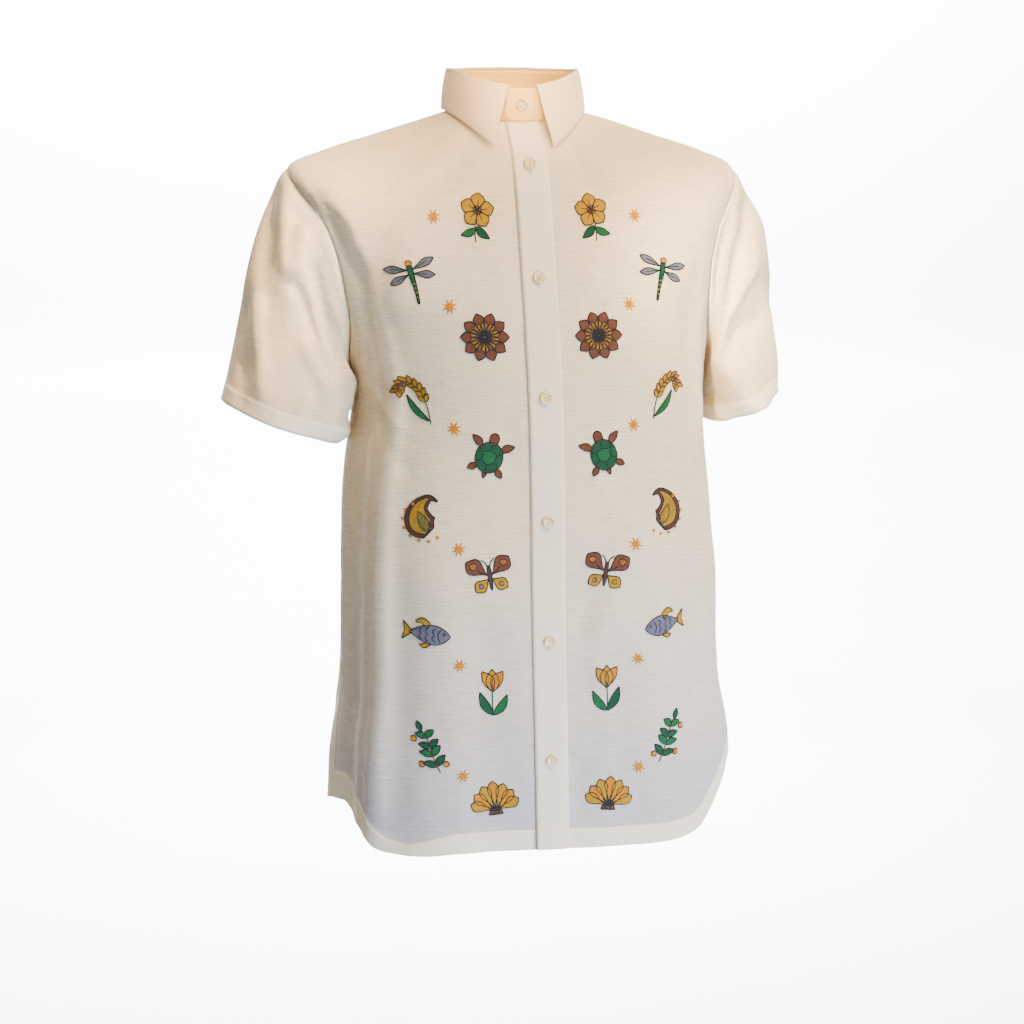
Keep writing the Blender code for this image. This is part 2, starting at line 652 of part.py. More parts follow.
def leaf_columns():
    """Fold angle and edge place of the leaf's columns, from its left end around the back."""
    around = neck_angles()
    start = math.degrees(math.asin(LEAF_START / (STAND_TOP_SIDE * MM)))
    inside = around[(around > start + LEAF_FIRST) & (around < 180)]
    half = np.concatenate(([start], inside, [180]))
    share = (half - start) / (180 - start)
    edge = along(LEAF_EDGE, share ** LEAF_SPREAD * (len(LEAF_EDGE) - 1))
    ease = (1 - share) ** POINT_EASE
    left, right = edge.copy(), edge.copy()
    left[:, 0] += (POINT_ANGLES["left"] - LEAF_EDGE[0, 0]) * ease
    right[:, 0] += (POINT_ANGLES["right"] - LEAF_EDGE[0, 0]) * ease
    fold = np.concatenate((half, 360 - half[-2::-1]))
    back = right[-2::-1] * (-1, 1, 1) + (360, 0, 0)
    return fold, np.concatenate((left, back))


def make_leaf():
    """The pointed leaf, rolled over the top of the stand and down onto the body."""
    fold, edge = leaf_columns()
    base, away = stand_top(fold), radial(fold)
    up = np.array((0, 0, 1))
    turns = np.linspace(math.pi, 0, ROLL_STEPS + 1)
    large, small = ROLL_MIDDLE + COLLAR_WALL, ROLL_MIDDLE
    outer = [base - away * COLLAR_WALL + up * SEAM]
    inner = [base + up * SEAM]
    for turn in turns:
        sideways, rise = math.cos(turn), math.sin(turn)
        outer.append(base + away * (ROLL_MIDDLE + large * sideways) + up * (ROLL_RISE + large * rise))
        inner.append(base + away * (ROLL_MIDDLE + small * sideways) + up * (ROLL_RISE + small * rise))
    edge_angle, edge_ring, clear = edge[:, 0], edge[:, 1], edge[:, 2:] * MM
    rest, normals = form(edge_angle, edge_ring), normal_of(form, edge_angle, edge_ring)
    edge_outer = rest + normals * (clear + COLLAR_WALL)
    edge_inner = rest + normals * clear
    for row in range(1, LEAF_ROWS + 1):
        share = row / LEAF_ROWS
        outer.append(outer[ROLL_STEPS + 1] * (1 - share) + edge_outer * share)
        inner.append(inner[ROLL_STEPS + 1] * (1 - share) + edge_inner * share)
    add_wall("collar_leaf", np.stack(outer), np.stack(inner), CRISP_CLOTH)


# ---- buttons -------------------------------------------------------------------------------


def make_button(name, seat, facing):
    """A dished round button whose back lies on its seat."""
    facing = unit(np.asarray(facing))
    across = unit(np.cross(facing, (0, 0, 1)))
    upward = np.cross(across, facing)
    turns = np.arange(BUTTON_SIDES) * 2 * math.pi / BUTTON_SIDES
    spokes = np.outer(np.cos(turns), across) + np.outer(np.sin(turns), upward)
    points, faces = [], []
    for radius, height in BUTTON_PROFILE:
        points.extend(seat + spokes * BUTTON_RADIUS * radius + facing * BUTTON_HEIGHT * height)
    for ring in range(len(BUTTON_PROFILE) - 1):
        for step in range(BUTTON_SIDES):
            low, low_next = ring * BUTTON_SIDES + step, ring * BUTTON_SIDES + (step + 1) % BUTTON_SIDES
            faces.append((low_next, low, low + BUTTON_SIDES, low_next + BUTTON_SIDES))
    faces.append(tuple(range(BUTTON_SIDES)))
    faces.append(tuple(range(len(points) - 1, len(points) - 1 - BUTTON_SIDES, -1)))
    add_node(name, points, faces, PEARL)


def ring_at_height(z):
    """Ring whose front middle is at a height (mm)."""
    heights = RINGS[:, 0]
    ring = np.interp(-z, -heights, np.arange(len(heights)))
    for _ in range(SEARCH_STEPS):
        slope = (ring_sizes(ring + SLOPE_STEP)["z_front"] - ring_sizes(ring)["z_front"]) / SLOPE_STEP
        ring += (z - ring_sizes(ring)["z_front"]) / slope
    return ring


def make_buttons():
    """One button on the stand and six down the placket."""
    seat = (form(0.0, 0.0) * 0.5 + stand_top(np.array(0.0)) * 0.5)
    seat[2] = STAND_BUTTON_Z
    make_button("button_collar", seat + (0, -BUTTON_GAP, 0), (0, -1, 0))
    rise = WALL + SEAM + BUTTON_GAP
    for number, z in enumerate(BUTTON_HEIGHTS, 1):
        ring = ring_at_height(z)
        facing = body_normal(0.0, ring)
        make_button(f"button_{number}", body(0.0, ring) + facing * rise, facing)


def main():
    for old in list(bpy.data.objects):
        bpy.data.objects.remove(old)
    make_front_right()
    make_front_left()
    make_placket()
    make_back()
    make_yoke()
    make_sleeve("right", -1)
    make_sleeve("left", 1)
    make_stand()
    make_leaf()
    make_buttons()


main()
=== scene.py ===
"""Looks of a short-sleeved barong tagalog shirt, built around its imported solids.

The frame is the part's own: metres, +Z up, the front faces -Y, the wearer's left is +X, and the
origin is the middle of the neck opening. The body's cloth is one surface, as in the solids. A
place on it is an angle (degrees, 0 in the middle of the front, 90 at the wearer's left side) and
a ring (a row of RINGS, from 0 at the neck seam down to the hem). Each piece of cloth is a thin
shell on the stretch of this surface that its solid holds, with finer creases than the solid has.
Bands, stitches, buttonholes, buttons and embroidery are set off it.
"""
import math

import bmesh
import bpy
import numpy as np
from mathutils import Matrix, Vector


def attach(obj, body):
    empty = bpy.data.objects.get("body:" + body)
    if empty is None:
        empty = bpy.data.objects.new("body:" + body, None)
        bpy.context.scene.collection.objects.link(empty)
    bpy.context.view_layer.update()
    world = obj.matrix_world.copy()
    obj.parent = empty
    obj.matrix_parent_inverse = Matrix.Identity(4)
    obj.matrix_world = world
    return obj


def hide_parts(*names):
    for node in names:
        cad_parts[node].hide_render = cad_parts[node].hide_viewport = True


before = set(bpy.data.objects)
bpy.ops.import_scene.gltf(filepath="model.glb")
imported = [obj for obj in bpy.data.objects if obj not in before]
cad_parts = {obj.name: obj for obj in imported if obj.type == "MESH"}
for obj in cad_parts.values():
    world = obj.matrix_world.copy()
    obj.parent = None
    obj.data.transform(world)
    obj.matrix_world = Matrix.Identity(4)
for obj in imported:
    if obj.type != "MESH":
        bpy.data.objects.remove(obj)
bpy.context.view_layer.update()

MM = 0.001

CLOTH = 0.6 * MM             # one layer of the body's cloth
HEM_RISE = 0.25 * MM         # a turned-up hem stands proud by this, outside and inside
COLLAR = 1.6 * MM            # the collar's two stiffened layers
PLACKET_RISE = 1.15 * MM     # outer face of the placket above the left front
PLACKET_THICK = 1.0 * MM
UNDER_LAP = -0.8 * MM        # the right front passes this far under the left
SEAM_DIP = 0.55 * MM         # depth of the groove at a seam
SEAM_REACH = 1.6 * MM        # half width of that groove
ALLOWANCE = 9 * MM           # doubled cloth behind a seam
ALLOWANCE_FADE = 2 * MM
ALLOWANCE_LAYER = 0.5        # how doubled it looks, next to a hem's 1
DOUBLED = 0.9                # cloth with more layer than this is a band

# The body's outline, ring by ring, in millimetres, as in the solids.
RING_COLUMNS = ("z_front", "z_side", "z_back", "middle", "right", "left", "front", "back", "square")
RINGS = np.array((
    (-14.5, -3, 3, 0, 62, 62, 62, 59, 2.0),
    (-41, -12, -12, 3.5, 94, 90, 78, 76, 2.05),
    (-69, -24, -34, 5, 135, 127, 90, 90, 2.1),
    (-97, -39, -58, 6, 184, 174, 100, 100, 2.15),
    (-125, -56, -82, 6.5, 219, 206, 109, 108, 2.2),
    (-152, -92, -112, 7, 209, 203, 118, 117, 2.3),
    (-182, -141, -158, 8, 194, 190, 125, 123, 2.4),
    (-214, -193, -203, 9, 179, 181, 129, 126, 2.45),
    (-245, -245, -245, 10.5, 168.5, 175, 131.5, 126, 2.45),
    (-275, -275, -275, 11.5, 167.5, 173.5, 132.5, 125, 2.45),
    (-312, -312, -312, 12.5, 174, 175, 133, 122, 2.5),
    (-360, -360, -360, 13.5, 181.5, 179, 133, 119, 2.6),
    (-440, -440, -440, 14.5, 185.5, 185.5, 132, 117, 2.75),
    (-533, -533, -533, 16.5, 188.5, 185.5, 132, 119, 2.85),
    (-605, -605, -605, 18, 196, 195, 133, 123, 2.9),
    (-692, -692, -692, 19.5, 202, 193, 135, 127, 2.9),
))
ARMPIT_RING = 8
VENT_RING = 13
HEM_RING = 15

# Folds of the solids: angle and height (mm) where each starts and ends, half width, height (mm).
FOLDS = (
    (-52, -150, -50, -760, 17, 5.5),
    (-66, -225, -64, -760, 24, -8),
    (-31, -330, -29, -780, 26, 3.5),
    (-18, -430, -15, -780, 20, -2.5),
    (-88, -560, -88, -900, 22, 7),
    (88, -560, 88, -900, 22, 4),
    (27, -300, 30, -780, 24, 3.5),
    (41, -380, 44, -780, 22, -3.5),
    (55, -190, 57, -760, 22, 4.5),
    (69, -225, 71, -640, 22, -6),
    (22, -60, 40, -210, 16, 2.5),
    (-24, -60, -42, -200, 16, 2.5),
    (102, -260, 99, -780, 20, -4.5),
    (118, -240, 115, -780, 22, 5),
    (137, -200, 134, -780, 24, -5),
    (152, -150, 151, -780, 20, 4.5),
    (168, -230, 170, -780, 22, -3.5),
    (189, -210, 192, -780, 22, 4),
    (205, -160, 207, -780, 20, 4.5),
    (222, -190, 224, -780, 24, -5),
    (241, -230, 243, -780, 22, 5),
    (259, -260, 262, -780, 20, -5),
)
# Finer creases, in the same columns.
CREASES = (
    # front, from the collar and the shoulders
    (17, -48, 33, -150, 8, -1.6),
    (24, -44, 52, -108, 7, 1.5),
    (30, -38, 62, -84, 6, -1.3),
    (-25, -46, -40, -132, 8, -1.2),
    (-31, -38, -60, -80, 6, 1.3),
    (-44, -52, -70, -96, 6, -1.0),
    (-47, -120, -57, -225, 9, -1.5),
    (-58, -150, -62, -250, 7, 1.2),
    (46, -118, 58, -240, 9, -1.4),
    (57, -165, 47, -275, 8, 1.0),
    # front, beside the collar's points and the shoulders
    (27.5, -28, 18, -100, 8, -1.9),
    (34, -30, 28, -96, 7, 1.5),
    (-52, -26, -44, -64, 7, -1.6),
    (-32, -34, -33, -74, 9, -1.8),
    (-39, -36, -43, -92, 8, 1.3),
    (78, -40, 62, -82, 8, -2.6),
    (66, -34, 50, -82, 10, 1.6),
    (50, -40, 60, -122, 9, -1.5),
    (-66, -56, -50, -108, 8, -1.0),
    # front, the edges of the hanging width
    (-50, -70, -44.5, -152, 9, 1.8),
    (-58, -82, -51, -175, 9, -2.0),
    (-46, -132, -46.5, -730, 6, 2.0),
    (-53, -155, -54, -745, 8, -3.2),
    (46, -150, 53, -305, 10, -2.0),
    (56, -165, 60, -340, 8, 1.8),
    # front, beside the placket
    (15, -425, 5, -505, 10, -2.2),
    (21, -425, 11, -525, 9, 1.6),
    (8.5, -598, 5, -705, 9, -1.9),
    (-12, -250, -9, -420, 10, -1.3),
    # front, strains from the armpits
    (-68, -232, -40, -300, 8, 1.1),
    (-66, -250, -36, -345, 9, -1.0),
    (70, -236, 46, -330, 8, 1.2),
    (72, -262, 50, -390, 9, -1.1),
    # front, hanging towards the hem
    (-42, -380, -40, -700, 11, -1.2),
    (-24, -520, -22, -800, 12, 1.0),
    (-10, -560, -11, -800, 10, -0.8),
    (9, -430, 12, -560, 8, -1.1),
    (13, -470, 18, -690, 9, 0.9),
    (21, -560, 22, -800, 12, -1.0),
    (35, -500, 38, -800, 12, 1.1),
    (49, -420, 50, -760, 10, -1.2),
    (62, -400, 63, -760, 9, 1.0),
    (80, -300, 82, -620, 9, 1.3),
    (-78, -300, -80, -600, 10, 1.4),
    (-58, -420, -58, -700, 8, 1.0),
    # back, under the yoke and from the armpits
    (100, -150, 125, -300, 10, 1.4),
    (112, -215, 142, -330, 9, -1.3),
    (260, -150, 234, -290, 10, 1.3),
    (247, -210, 217, -320, 9, -1.4),
    (160, -120, 158, -330, 9, 1.1),
    (201, -118, 204, -300, 9, -1.2),
    (178, -116, 180, -260, 8, 0.9),
    # back, hanging towards the hem
    (127, -330, 125, -740, 10, 1.3),
    (144, -400, 143, -780, 9, -1.1),
    (160, -360, 161, -700, 11, 1.2),
    (180, -430, 181, -800, 10, -1.1),
    (197, -380, 199, -740, 9, 1.2),
    (214, -350, 215, -780, 10, -1.3),
    (232, -400, 233, -740, 9, 1.2),
    (250, -360, 252, -700, 9, -1.2),
)
FOLD_FADE = 0.22             # share of a fold's length over which each end dies away
MM_PER_DEGREE = 2.9          # of the body's girth
BODY_REACH = 0.17            # half the body's width (m)
SLOPE_STEP = 0.01            # degrees or rings over which a slope is measured
SEARCH_ROUNDS = 6            # towards a place on the front
# Slight unevenness of all the cloth: waves per metre across and down, start in turns, height (mm).
RIPPLES = (
    (7, 3, 0.10, 0.30), (4, 11, 0.45, 0.26), (15, -6, 0.70, 0.16),
    (22, 9, 0.25, 0.11), (3, 19, 0.90, 0.13), (31, -14, 0.55, 0.07),
)

# Armhole, from the shoulder point down to the armpit: ring and angle, as in the solids.
ARMHOLE_FRONT = np.array((
    (4.0, 90), (4.12, 82), (4.32, 74), (4.6, 66.5), (4.95, 61), (5.4, 59), (5.95, 59.5),
    (6.5, 61.5), (6.98, 65), (7.35, 70), (7.65, 76), (7.86, 83), (8.0, 90),
))
ARMHOLE_BACK = np.array((
    (4.0, 90), (4.1, 98), (4.32, 106), (4.68, 113), (5.1, 117.5), (5.6, 119.5), (6.2, 118.5),
    (6.75, 115), (7.2, 110.5), (7.58, 104), (7.84, 97), (8.0, 90),
))
SHOULDER_SEAM_ROW = 2
YOKE_SEAM_ROW = 4
SHOULDER_SEAM_ANGLE = 78
YOKE_BACK_ANGLE = 122
YOKE_BACK_RING = 4.68
FINE = 6                     # grid rows to each row of an armhole's table
SEAM_ROWS = 26               # grid rows from the yoke's edge up to the neck
SEAM_STEP = 0.01             # share of a panel between the close rows at its seams

BAND_RING = 14.7             # upper edge of the bottom hem
BAND_STEP = 0.004            # rings over which the hem steps up
SIDE_ROWS = 104              # grid rows from the armpit to the bottom hem
BAND_ROWS = 6
FRONT_COLUMNS = 56           # from the placket to the band beside the vent
BACK_COLUMNS = 60            # from that band to the middle of the back
LAP_COLUMNS = 10
SIDE_BAND = 0.11             # share of a panel's half width that the band beside a vent takes
SIDE_BAND_STEP = 0.001
SIDE_EDGE_STEP = 0.004
SIDE_BAND_COLUMNS = 6
VENT_OPEN = 1.3              # degrees that each edge of a vent stands back at the hem
# The hem's line: angle, and how far it hangs below the last ring (mm, less than 0 above it).
HEM_LINE = np.array((
    (-90, -20), (-80, -28), (-70, -33), (-64, -28), (-55, -17), (-51, -7), (-48, 3), (-44, 12), (-38, 17),
    (-33, 10), (-26, 1), (0, 0), (20, 2), (42, 4), (46, -4), (50, -21), (54, -43), (58, -62), (63, -72),
    (72, -74), (80, -69), (90, -58), (97, -34), (105, -14), (116, 0), (180, 3), (230, -2), (242, -14),
    (254, -24), (262, -24), (270, -20),
))
# Ring, and the share of that drop that it takes.
HEM_SHARES = np.array((
    (12.5, 0), (13, 0.03), (13.5, 0.12), (14, 0.38), (14.35, 0.65), (14.74, 0.97), (15, 1),
))
WEAVE_STEPS = 240
PUCKER = 0.22 * MM           # waves in the cloth along a stitched hem
PUCKER_LENGTH = 13 * MM
PUCKER_RINGS = 0.09
PUCKER_DRIFT = 0.7           # turns by which the waves come early or late
PUCKER_DRIFT_LENGTH = 39 * MM
PLACKET_WIDTH = 31.5 * MM
PLACKET_EDGE = 0.35 * MM     # how far its folded edges turn down
PLACKET_LAYER = 0.9          # as doubled as cloth can look without being a band
LAP_EASE = 12 * MM           # over which the right front comes level again past the lap

# Sleeve hems, as in the solids: middle, half widths (mm), tilt and turn (degrees).
CUFF_COLUMNS = ("x", "y", "z", "out", "forward", "tilt", "turn")
CUFFS = {
    "right": (-224.5, -13, -290.5, 60.5, 67, 21, 0),
    "left": (230, 6, -285, 40.5, 73, 23, -6),
}
SLEEVE_HEM = 17 * MM
SLEEVE_STEP = 0.3 * MM
SLEEVE_ROWS = 62
SLEEVE_START = (0, 0.006, 0.014)     # shares of the rows closest to the armhole seam
SLEEVE_FIRST_ROW = 0.03
SLEEVE_GIRTH = 0.42          # all round the hem (m)
SLEEVE_REACH = 0.07          # half a sleeve's width (m)
SLEEVE_LENGTH = 0.2          # about its length (m)
SLEEVE_PULL = 0.9            # how straight it leaves the armhole and reaches the hem
SLEEVE_FADE = 0.15           # shares of its length over which folds, creases and ripples set in
CREASE_FADE = 0.05
RIPPLE_FADE = 0.1
SEAM_FOLLOW = (1, 0.7, 0.35) # how far the first rows face as the body does
CAP_LEAN = 0.4               # how far out the cap leaves the shoulder
CAP_PUFF = 1.1 * MM          # how far the cap's ease stands over the armhole seam
CAP_PUFF_AT = 0.045          # as a share of the sleeve's length
CAP_PUFF_REACH = 0.035
OPEN_VALLEY = 0.3            # a cap that leaves the body this steeply faces its own way
# Folds and finer creases: place around (0 outer, 90 front, 180 inner, 270 back) and share of the
# length where each starts and ends, half width in degrees, height in mm.
SLEEVE_FOLDS = {
    "right": (
        (150, 0.25, 60, 1.2, 16, 4),
        (150, 0.14, 145, 1.05, 22, 12),
        (120, 0.1, 25, 0.95, 13, -3),
        (170, 0.5, 105, 1.2, 14, -4),
        (70, -0.1, 45, 0.5, 14, 2.5),
        (250, 0.2, 300, 1.2, 16, 4),
        (225, 0.3, 262, 1.2, 14, -4),
        (320, 0.1, 335, 0.9, 16, 2.5),
        (96, 0.02, 66, 0.55, 7, -1.4),
        (84, 0.3, 20, 1.1, 7, 1.0),
        (135, 0.35, 92, 0.9, 6, 1.3),
        (40, 0.1, 5, 0.8, 7, -1.0),
        (10, 0.3, -12, 1.1, 8, 1.0),
        (128, 0.6, 112, 1.2, 6, -1.2),
        (290, 0.1, 318, 0.8, 7, -1.3),
        (240, 0.1, 265, 0.6, 6, 1.3),
        (345, 0.4, 350, 1.2, 8, -1.0),
    ),
    "left": (
        (140, 0.2, 60, 1.2, 14, 5),
        (0, 0.1, 0, 1, 40, 7),
        (112, 0.1, 28, 1.2, 12, -4),
        (160, 0.5, 92, 1.2, 12, -5),
        (60, -0.1, 30, 0.5, 14, 2.5),
        (240, 0.2, 300, 1.2, 16, 4),
        (215, 0.3, 262, 1.2, 14, -4),
        (320, 0.1, 335, 0.9, 16, 2.5),
        (100, 0.03, 62, 0.6, 6, -1.4),
        (86, 0.3, 36, 1.1, 6, 1.3),
        (132, 0.3, 96, 0.85, 6, 1.2),
        (36, 0.1, 8, 0.9, 7, -1.1),
        (8, 0.35, -6, 1.1, 8, 1.1),
        (120, 0.62, 108, 1.2, 5, 1.3),
        (288, 0.1, 316, 0.8, 7, -1.3),
        (236, 0.1, 262, 0.6, 6, 1.3),
        (346, 0.4, 350, 1.2, 8, -1.0),
    ),
}
# Finer creases of the sleeves: place around and share of the length where each
# starts and ends, half width and height (mm).
SLEEVE_CREASES = {
    "right": (
        (60, 0.18, 138, 0.34, 10, -5.0),
        (112, 0.14, 134, 0.42, 9, -3.5),
        (54, 0.30, 100, 0.44, 8, -4.2),
        (46, 0.06, 66, 0.36, 8, 3.6),
        (20, 0.02, 56, 0.36, 9, 4.0),
        (2, 0.05, 36, 0.45, 12, -3.6),
        (22, 0.42, 72, 0.94, 10, 4.0),
        (4, 0.50, 52, 1.05, 12, -3.6),
        (76, 0.48, 122, 0.60, 9, 2.6),
        (100, 0.58, 126, 0.98, 8, -2.4),
        (196, 0.25, 240, 0.45, 9, -3.6),
        (262, 0.15, 300, 0.60, 10, 3.0),
        (282, 0.40, 330, 0.95, 10, -3.4),
        (330, 0.05, 352, 0.55, 9, -2.4),
    ),
    "left": (
        (38, 0.04, 108, 0.10, 8, -4.5),
        (12, 0.10, 94, 0.30, 9, -6.5),
        (34, 0.34, 112, 0.36, 9, 4.6),
        (30, 0.62, 118, 0.44, 10, -5.0),
        (50, 0.80, 120, 0.60, 9, 2.6),
        (112, 0.78, 116, 1.06, 5, -1.4),
        (122, 0.80, 127, 1.06, 5, 1.2),
        (80, 0.86, 74, 1.08, 6, -1.4),
        (10, 0.50, -6, 1.02, 10, -2.6),
        (28, 0.55, 22, 1.02, 9, 2.2),
        (196, 0.30, 236, 0.50, 9, -3.2),
        (258, 0.10, 300, 0.50, 10, 3.0),
        (276, 0.45, 324, 0.90, 10, -3.2),
        (328, 0.10, 350, 0.60, 9, -2.4),
    ),
}
SLEEVE_SPREAD = np.array((1.15, 160))    # mm to a degree around, and to the whole length

# Collar, as in the solids: the stand's upper edge (mm), at the front, the sides and the back.
STAND_TOP_SIDE = 60.5
STAND_TOP_FRONT = 63
STAND_TOP_BACK = 58
STAND_TOP_Z = (16, 33, 36)
COLLAR_CLEAR = 0.3 * MM      # between stand and leaf, and between the stand and the neck seam
STAND_CORNER = 5 * MM        # rise of the stand's round end
STAND_CORNER_RUN = 8 * MM
STAND_ROWS = 10
STAND_COLUMNS = 220
STAND_LAP = -1.9 * MM        # how far its right end passes under its left
STAND_BOW = 0.5 * MM         # the stand's soft outward curve
LAP_START = 310              # degrees where the lap sets in
LAP_RUN = 22                 # and over how many
LEAF_START = 12.6 * MM       # from the middle of the front to each end of the leaf's fold
LEAF_COLUMNS = 96
LEAF_ROWS = 22
LEAF_SPREAD = 0.8
LEAF_BULGE = 1.1 * MM        # the leaf's soft outward curve
LEAF_TURN = 6                # how soon below the roll the leaf faces its own way
POINT_EASE = 6               # how soon beside its points the leaf's edge is the same on both sides
ROLL_MIDDLE = 0.5 * MM
ROLL_RISE = 1.2 * MM
ROLL_STEPS = 8
POINT_ANGLES = {"right": 19.5, "left": 14.5}
# The leaf's lower edge on the left side: angle, ring and clearance from the body (mm).
LEAF_EDGE = np.array((
    (19.5, 0.98, 3.2), (27, 0.8, 2.8), (38, 0.6, 2), (52, 0.42, 1.4), (70, 0.3, 1.2),
    (90, 0.24, 1.2), (112, 0.24, 1.2), (135, 0.26, 1.2), (158, 0.29, 1.2), (180, 0.3, 1.2),
))

# Heights of the placket's buttons (mm).
BUTTON_HEIGHTS = (-52, -151, -258, -373, -487, -603.5)
STAND_BUTTON_Z = 1 * MM
BUTTON_GAP = 0.3 * MM


# ---- curves and surfaces ----


def bridge(here, there, leave, arrive, part):
    """A share of the way along a smooth curve with given directions at its ends."""
    square, cube = part ** 2, part ** 3
    return (here * (2 * cube - 3 * square + 1) + leave * (cube - 2 * square + part)
            + there * (3 * square - 2 * cube) + arrive * (cube - square))


def along(table, place):
    """Row of a table at a fractional row number, on a smooth curve through its rows."""
    place = np.asarray(place, float)
    last = len(table) - 1
    low = np.clip(np.floor(place).astype(int), 0, last - 1)
    part = (place - low)[..., None]
    before, here = table[np.maximum(low - 1, 0)], table[low]
    there, after = table[low + 1], table[np.minimum(low + 2, last)]
    return bridge(here, there, (there - before) / 2, (after - here) / 2, part)


def distances(points):
    """Distance of each point of a path from its start."""
    return np.concatenate(([0], np.linalg.norm(np.diff(points, axis=0), axis=1).cumsum()))


def path_length(points):
    """Length of a path."""
    return np.linalg.norm(np.diff(points, axis=0), axis=1).sum()


def ring_sizes(ring):
    """The named sizes of the body's outline at a ring."""
    return dict(zip(RING_COLUMNS, np.moveaxis(along(RINGS, ring), -1, 0)))


def smooth(share):
    """0 to 1, with a soft start and end."""
    share = np.clip(share, 0, 1)
    return share * share * (3 - 2 * share)


def unit(vectors):
    """Vectors at length 1."""
    return vectors / np.linalg.norm(vectors, axis=-1, keepdims=True)


def form(angle, ring):
    """Point of the body's outline before any fold."""
    size = ring_sizes(ring)
    cos, sin = np.cos(np.radians(angle)), np.sin(np.radians(angle))
    reach = (np.abs(cos) ** size["square"] + np.abs(sin) ** size["square"]) ** (-1 / size["square"])
    x = size["middle"] + np.where(sin > 0, size["left"], size["right"]) * sin * reach
    y = -np.where(cos > 0, size["front"], size["back"]) * cos * reach
    z_end = np.where(cos > 0, size["z_front"], size["z_back"])
    z = size["z_side"] + (z_end - size["z_side"]) * cos ** 2
    return np.stack((x, y, z), -1) * MM


def ripple(across, down):
    """Slight unevenness of cloth at a place in metres."""
    total = 0
    for waves_across, waves_down, start, height in RIPPLES:
        total = total + height * np.sin(2 * np.pi * (waves_across * across + waves_down * down + start))
    return total * MM


def shortest(turn):
    """A turn in degrees, taken the shorter way round."""
    return (turn + 180) % 360 - 180


def fade_ends(run):
    """1 along a fold, and down to 0 at its ends."""
    return smooth(run / FOLD_FADE) * smooth((1 - run) / FOLD_FADE)


def fold_lift(folds, place, level, scale=1):
    """How far folds lift cloth at a place around it and a level. scale turns places into widths."""
    total = np.zeros(np.broadcast(place, level).shape)
    for place_top, level_top, place_low, level_low, width, height in folds:
        run = (level - level_top) / (level_low - level_top)
        centre = place_top + (place_low - place_top) * np.clip(run, 0, 1)
        away = shortest(place - centre) * scale
        total += height * np.exp(-(away / width) ** 2) * fade_ends(run)
    return total * MM


def normal_of(surface, angle, ring):
    """Outward direction of a surface."""
    across = surface(angle + SLOPE_STEP, ring) - surface(angle - SLOPE_STEP, ring)
    down = surface(angle, ring + SLOPE_STEP) - surface(angle, ring - SLOPE_STEP)
    return unit(np.cross(down, across))


def body(angle, ring):
    """Point of the body's cloth, folds and all."""
    flat = form(angle, ring)
    turn = np.radians(angle)
    uneven = ripple(np.sin(turn) * BODY_REACH, flat[..., 2]) * smooth(ring)
    height = fold_lift(FOLDS + CREASES, angle, flat[..., 2] / MM, MM_PER_DEGREE) + uneven
    return flat + normal_of(form, angle, ring) * height[..., None]


def angle_at(x, ring):
    """Angle on the front where the outline is this far (m) from its middle."""
    size = ring_sizes(ring)
    share = x / MM / np.where(np.asarray(x) > 0, size["left"], size["right"])
    depth = (1 - np.abs(share) ** size["square"]) ** (1 / size["square"])
    return np.degrees(np.arctan2(share, depth))


def front_place(x, z):
    """Angle and ring on the front, this far (m) from the middle line and at this height."""
    ring = np.interp(-z / MM, -RINGS[:, 0], np.arange(len(RINGS)))
    for _ in range(SEARCH_ROUNDS):
        angle = angle_at(x, ring)
        here = form(angle, ring)[..., 2]
        slope = (form(angle, ring + SLOPE_STEP)[..., 2] - here) / SLOPE_STEP
        ring = ring + (z - here) / slope
    return angle_at(x, ring), ring


# ---- grids of cloth ----


def fine(table):
    """A table's rows with finer ones between them."""
    return along(table, np.linspace(0, len(table) - 1, (len(table) - 1) * FINE + 1))


def all_round(half):
    """Angles from the wearer's left to the middle of the back, carried on to the right."""
    return np.concatenate((half, 360 - half[..., -2::-1]), axis=-1)


def seam_rows():
    """Shares from one seam to another, evenly spaced but for two closer steps at each end."""
    middle = np.linspace(3 * SEAM_STEP, 1 - 3 * SEAM_STEP, SEAM_ROWS)
    return np.concatenate(((0, SEAM_STEP), middle, (1 - SEAM_STEP, 1)))


def side_rings():
    """Rings from the armpit down to the hem, with a step where the hem is turned up."""
    upper = np.linspace(ARMPIT_RING, BAND_RING - BAND_STEP, SIDE_ROWS)
    vent = np.argmin(np.abs(upper - VENT_RING))
    upper[vent - 1:vent + 1] = VENT_RING - BAND_STEP, VENT_RING
    band = np.linspace(BAND_RING, HEM_RING, BAND_ROWS)
    return np.concatenate((upper[1:], band[:-1], (HEM_RING - BAND_STEP * 2, HEM_RING)))


def vent_angle(ring):
    """Degrees that a side edge stands back from the side line."""
    return VENT_OPEN * np.clip((ring - VENT_RING) / (HEM_RING - VENT_RING), 0, 1)


def side_shares(columns):
    """Shares of a half panel's width up to its side edge, with a step at the vent's band."""
    inside = np.linspace(0, 1 - SIDE_BAND - SIDE_BAND_STEP, columns)
    band = np.linspace(1 - SIDE_BAND, 1 - SIDE_EDGE_STEP, SIDE_BAND_COLUMNS)
    return np.concatenate((inside, band, (1,)))


def hang_hem(angles, rings):
    """Shape the lowest rows of a panel to the hem line."""
    drop = np.interp(angles[-1], HEM_LINE[:, 0], HEM_LINE[:, 1])
    ring_height = RINGS[HEM_RING - 1][1] - RINGS[HEM_RING][1]
    return rings + np.interp(rings, *HEM_SHARES.T) * drop / ring_height


def fan_rings(edge, top, armpit, shares):
    """Rings of rows that follow the armhole at its edge and are evenly spaced away from it."""
    even = edge.copy()
    even[top:armpit + 1] = np.linspace(edge[top], ARMPIT_RING, armpit + 1 - top)
    return even[:, None] + (edge - even)[:, None] * shares ** 2


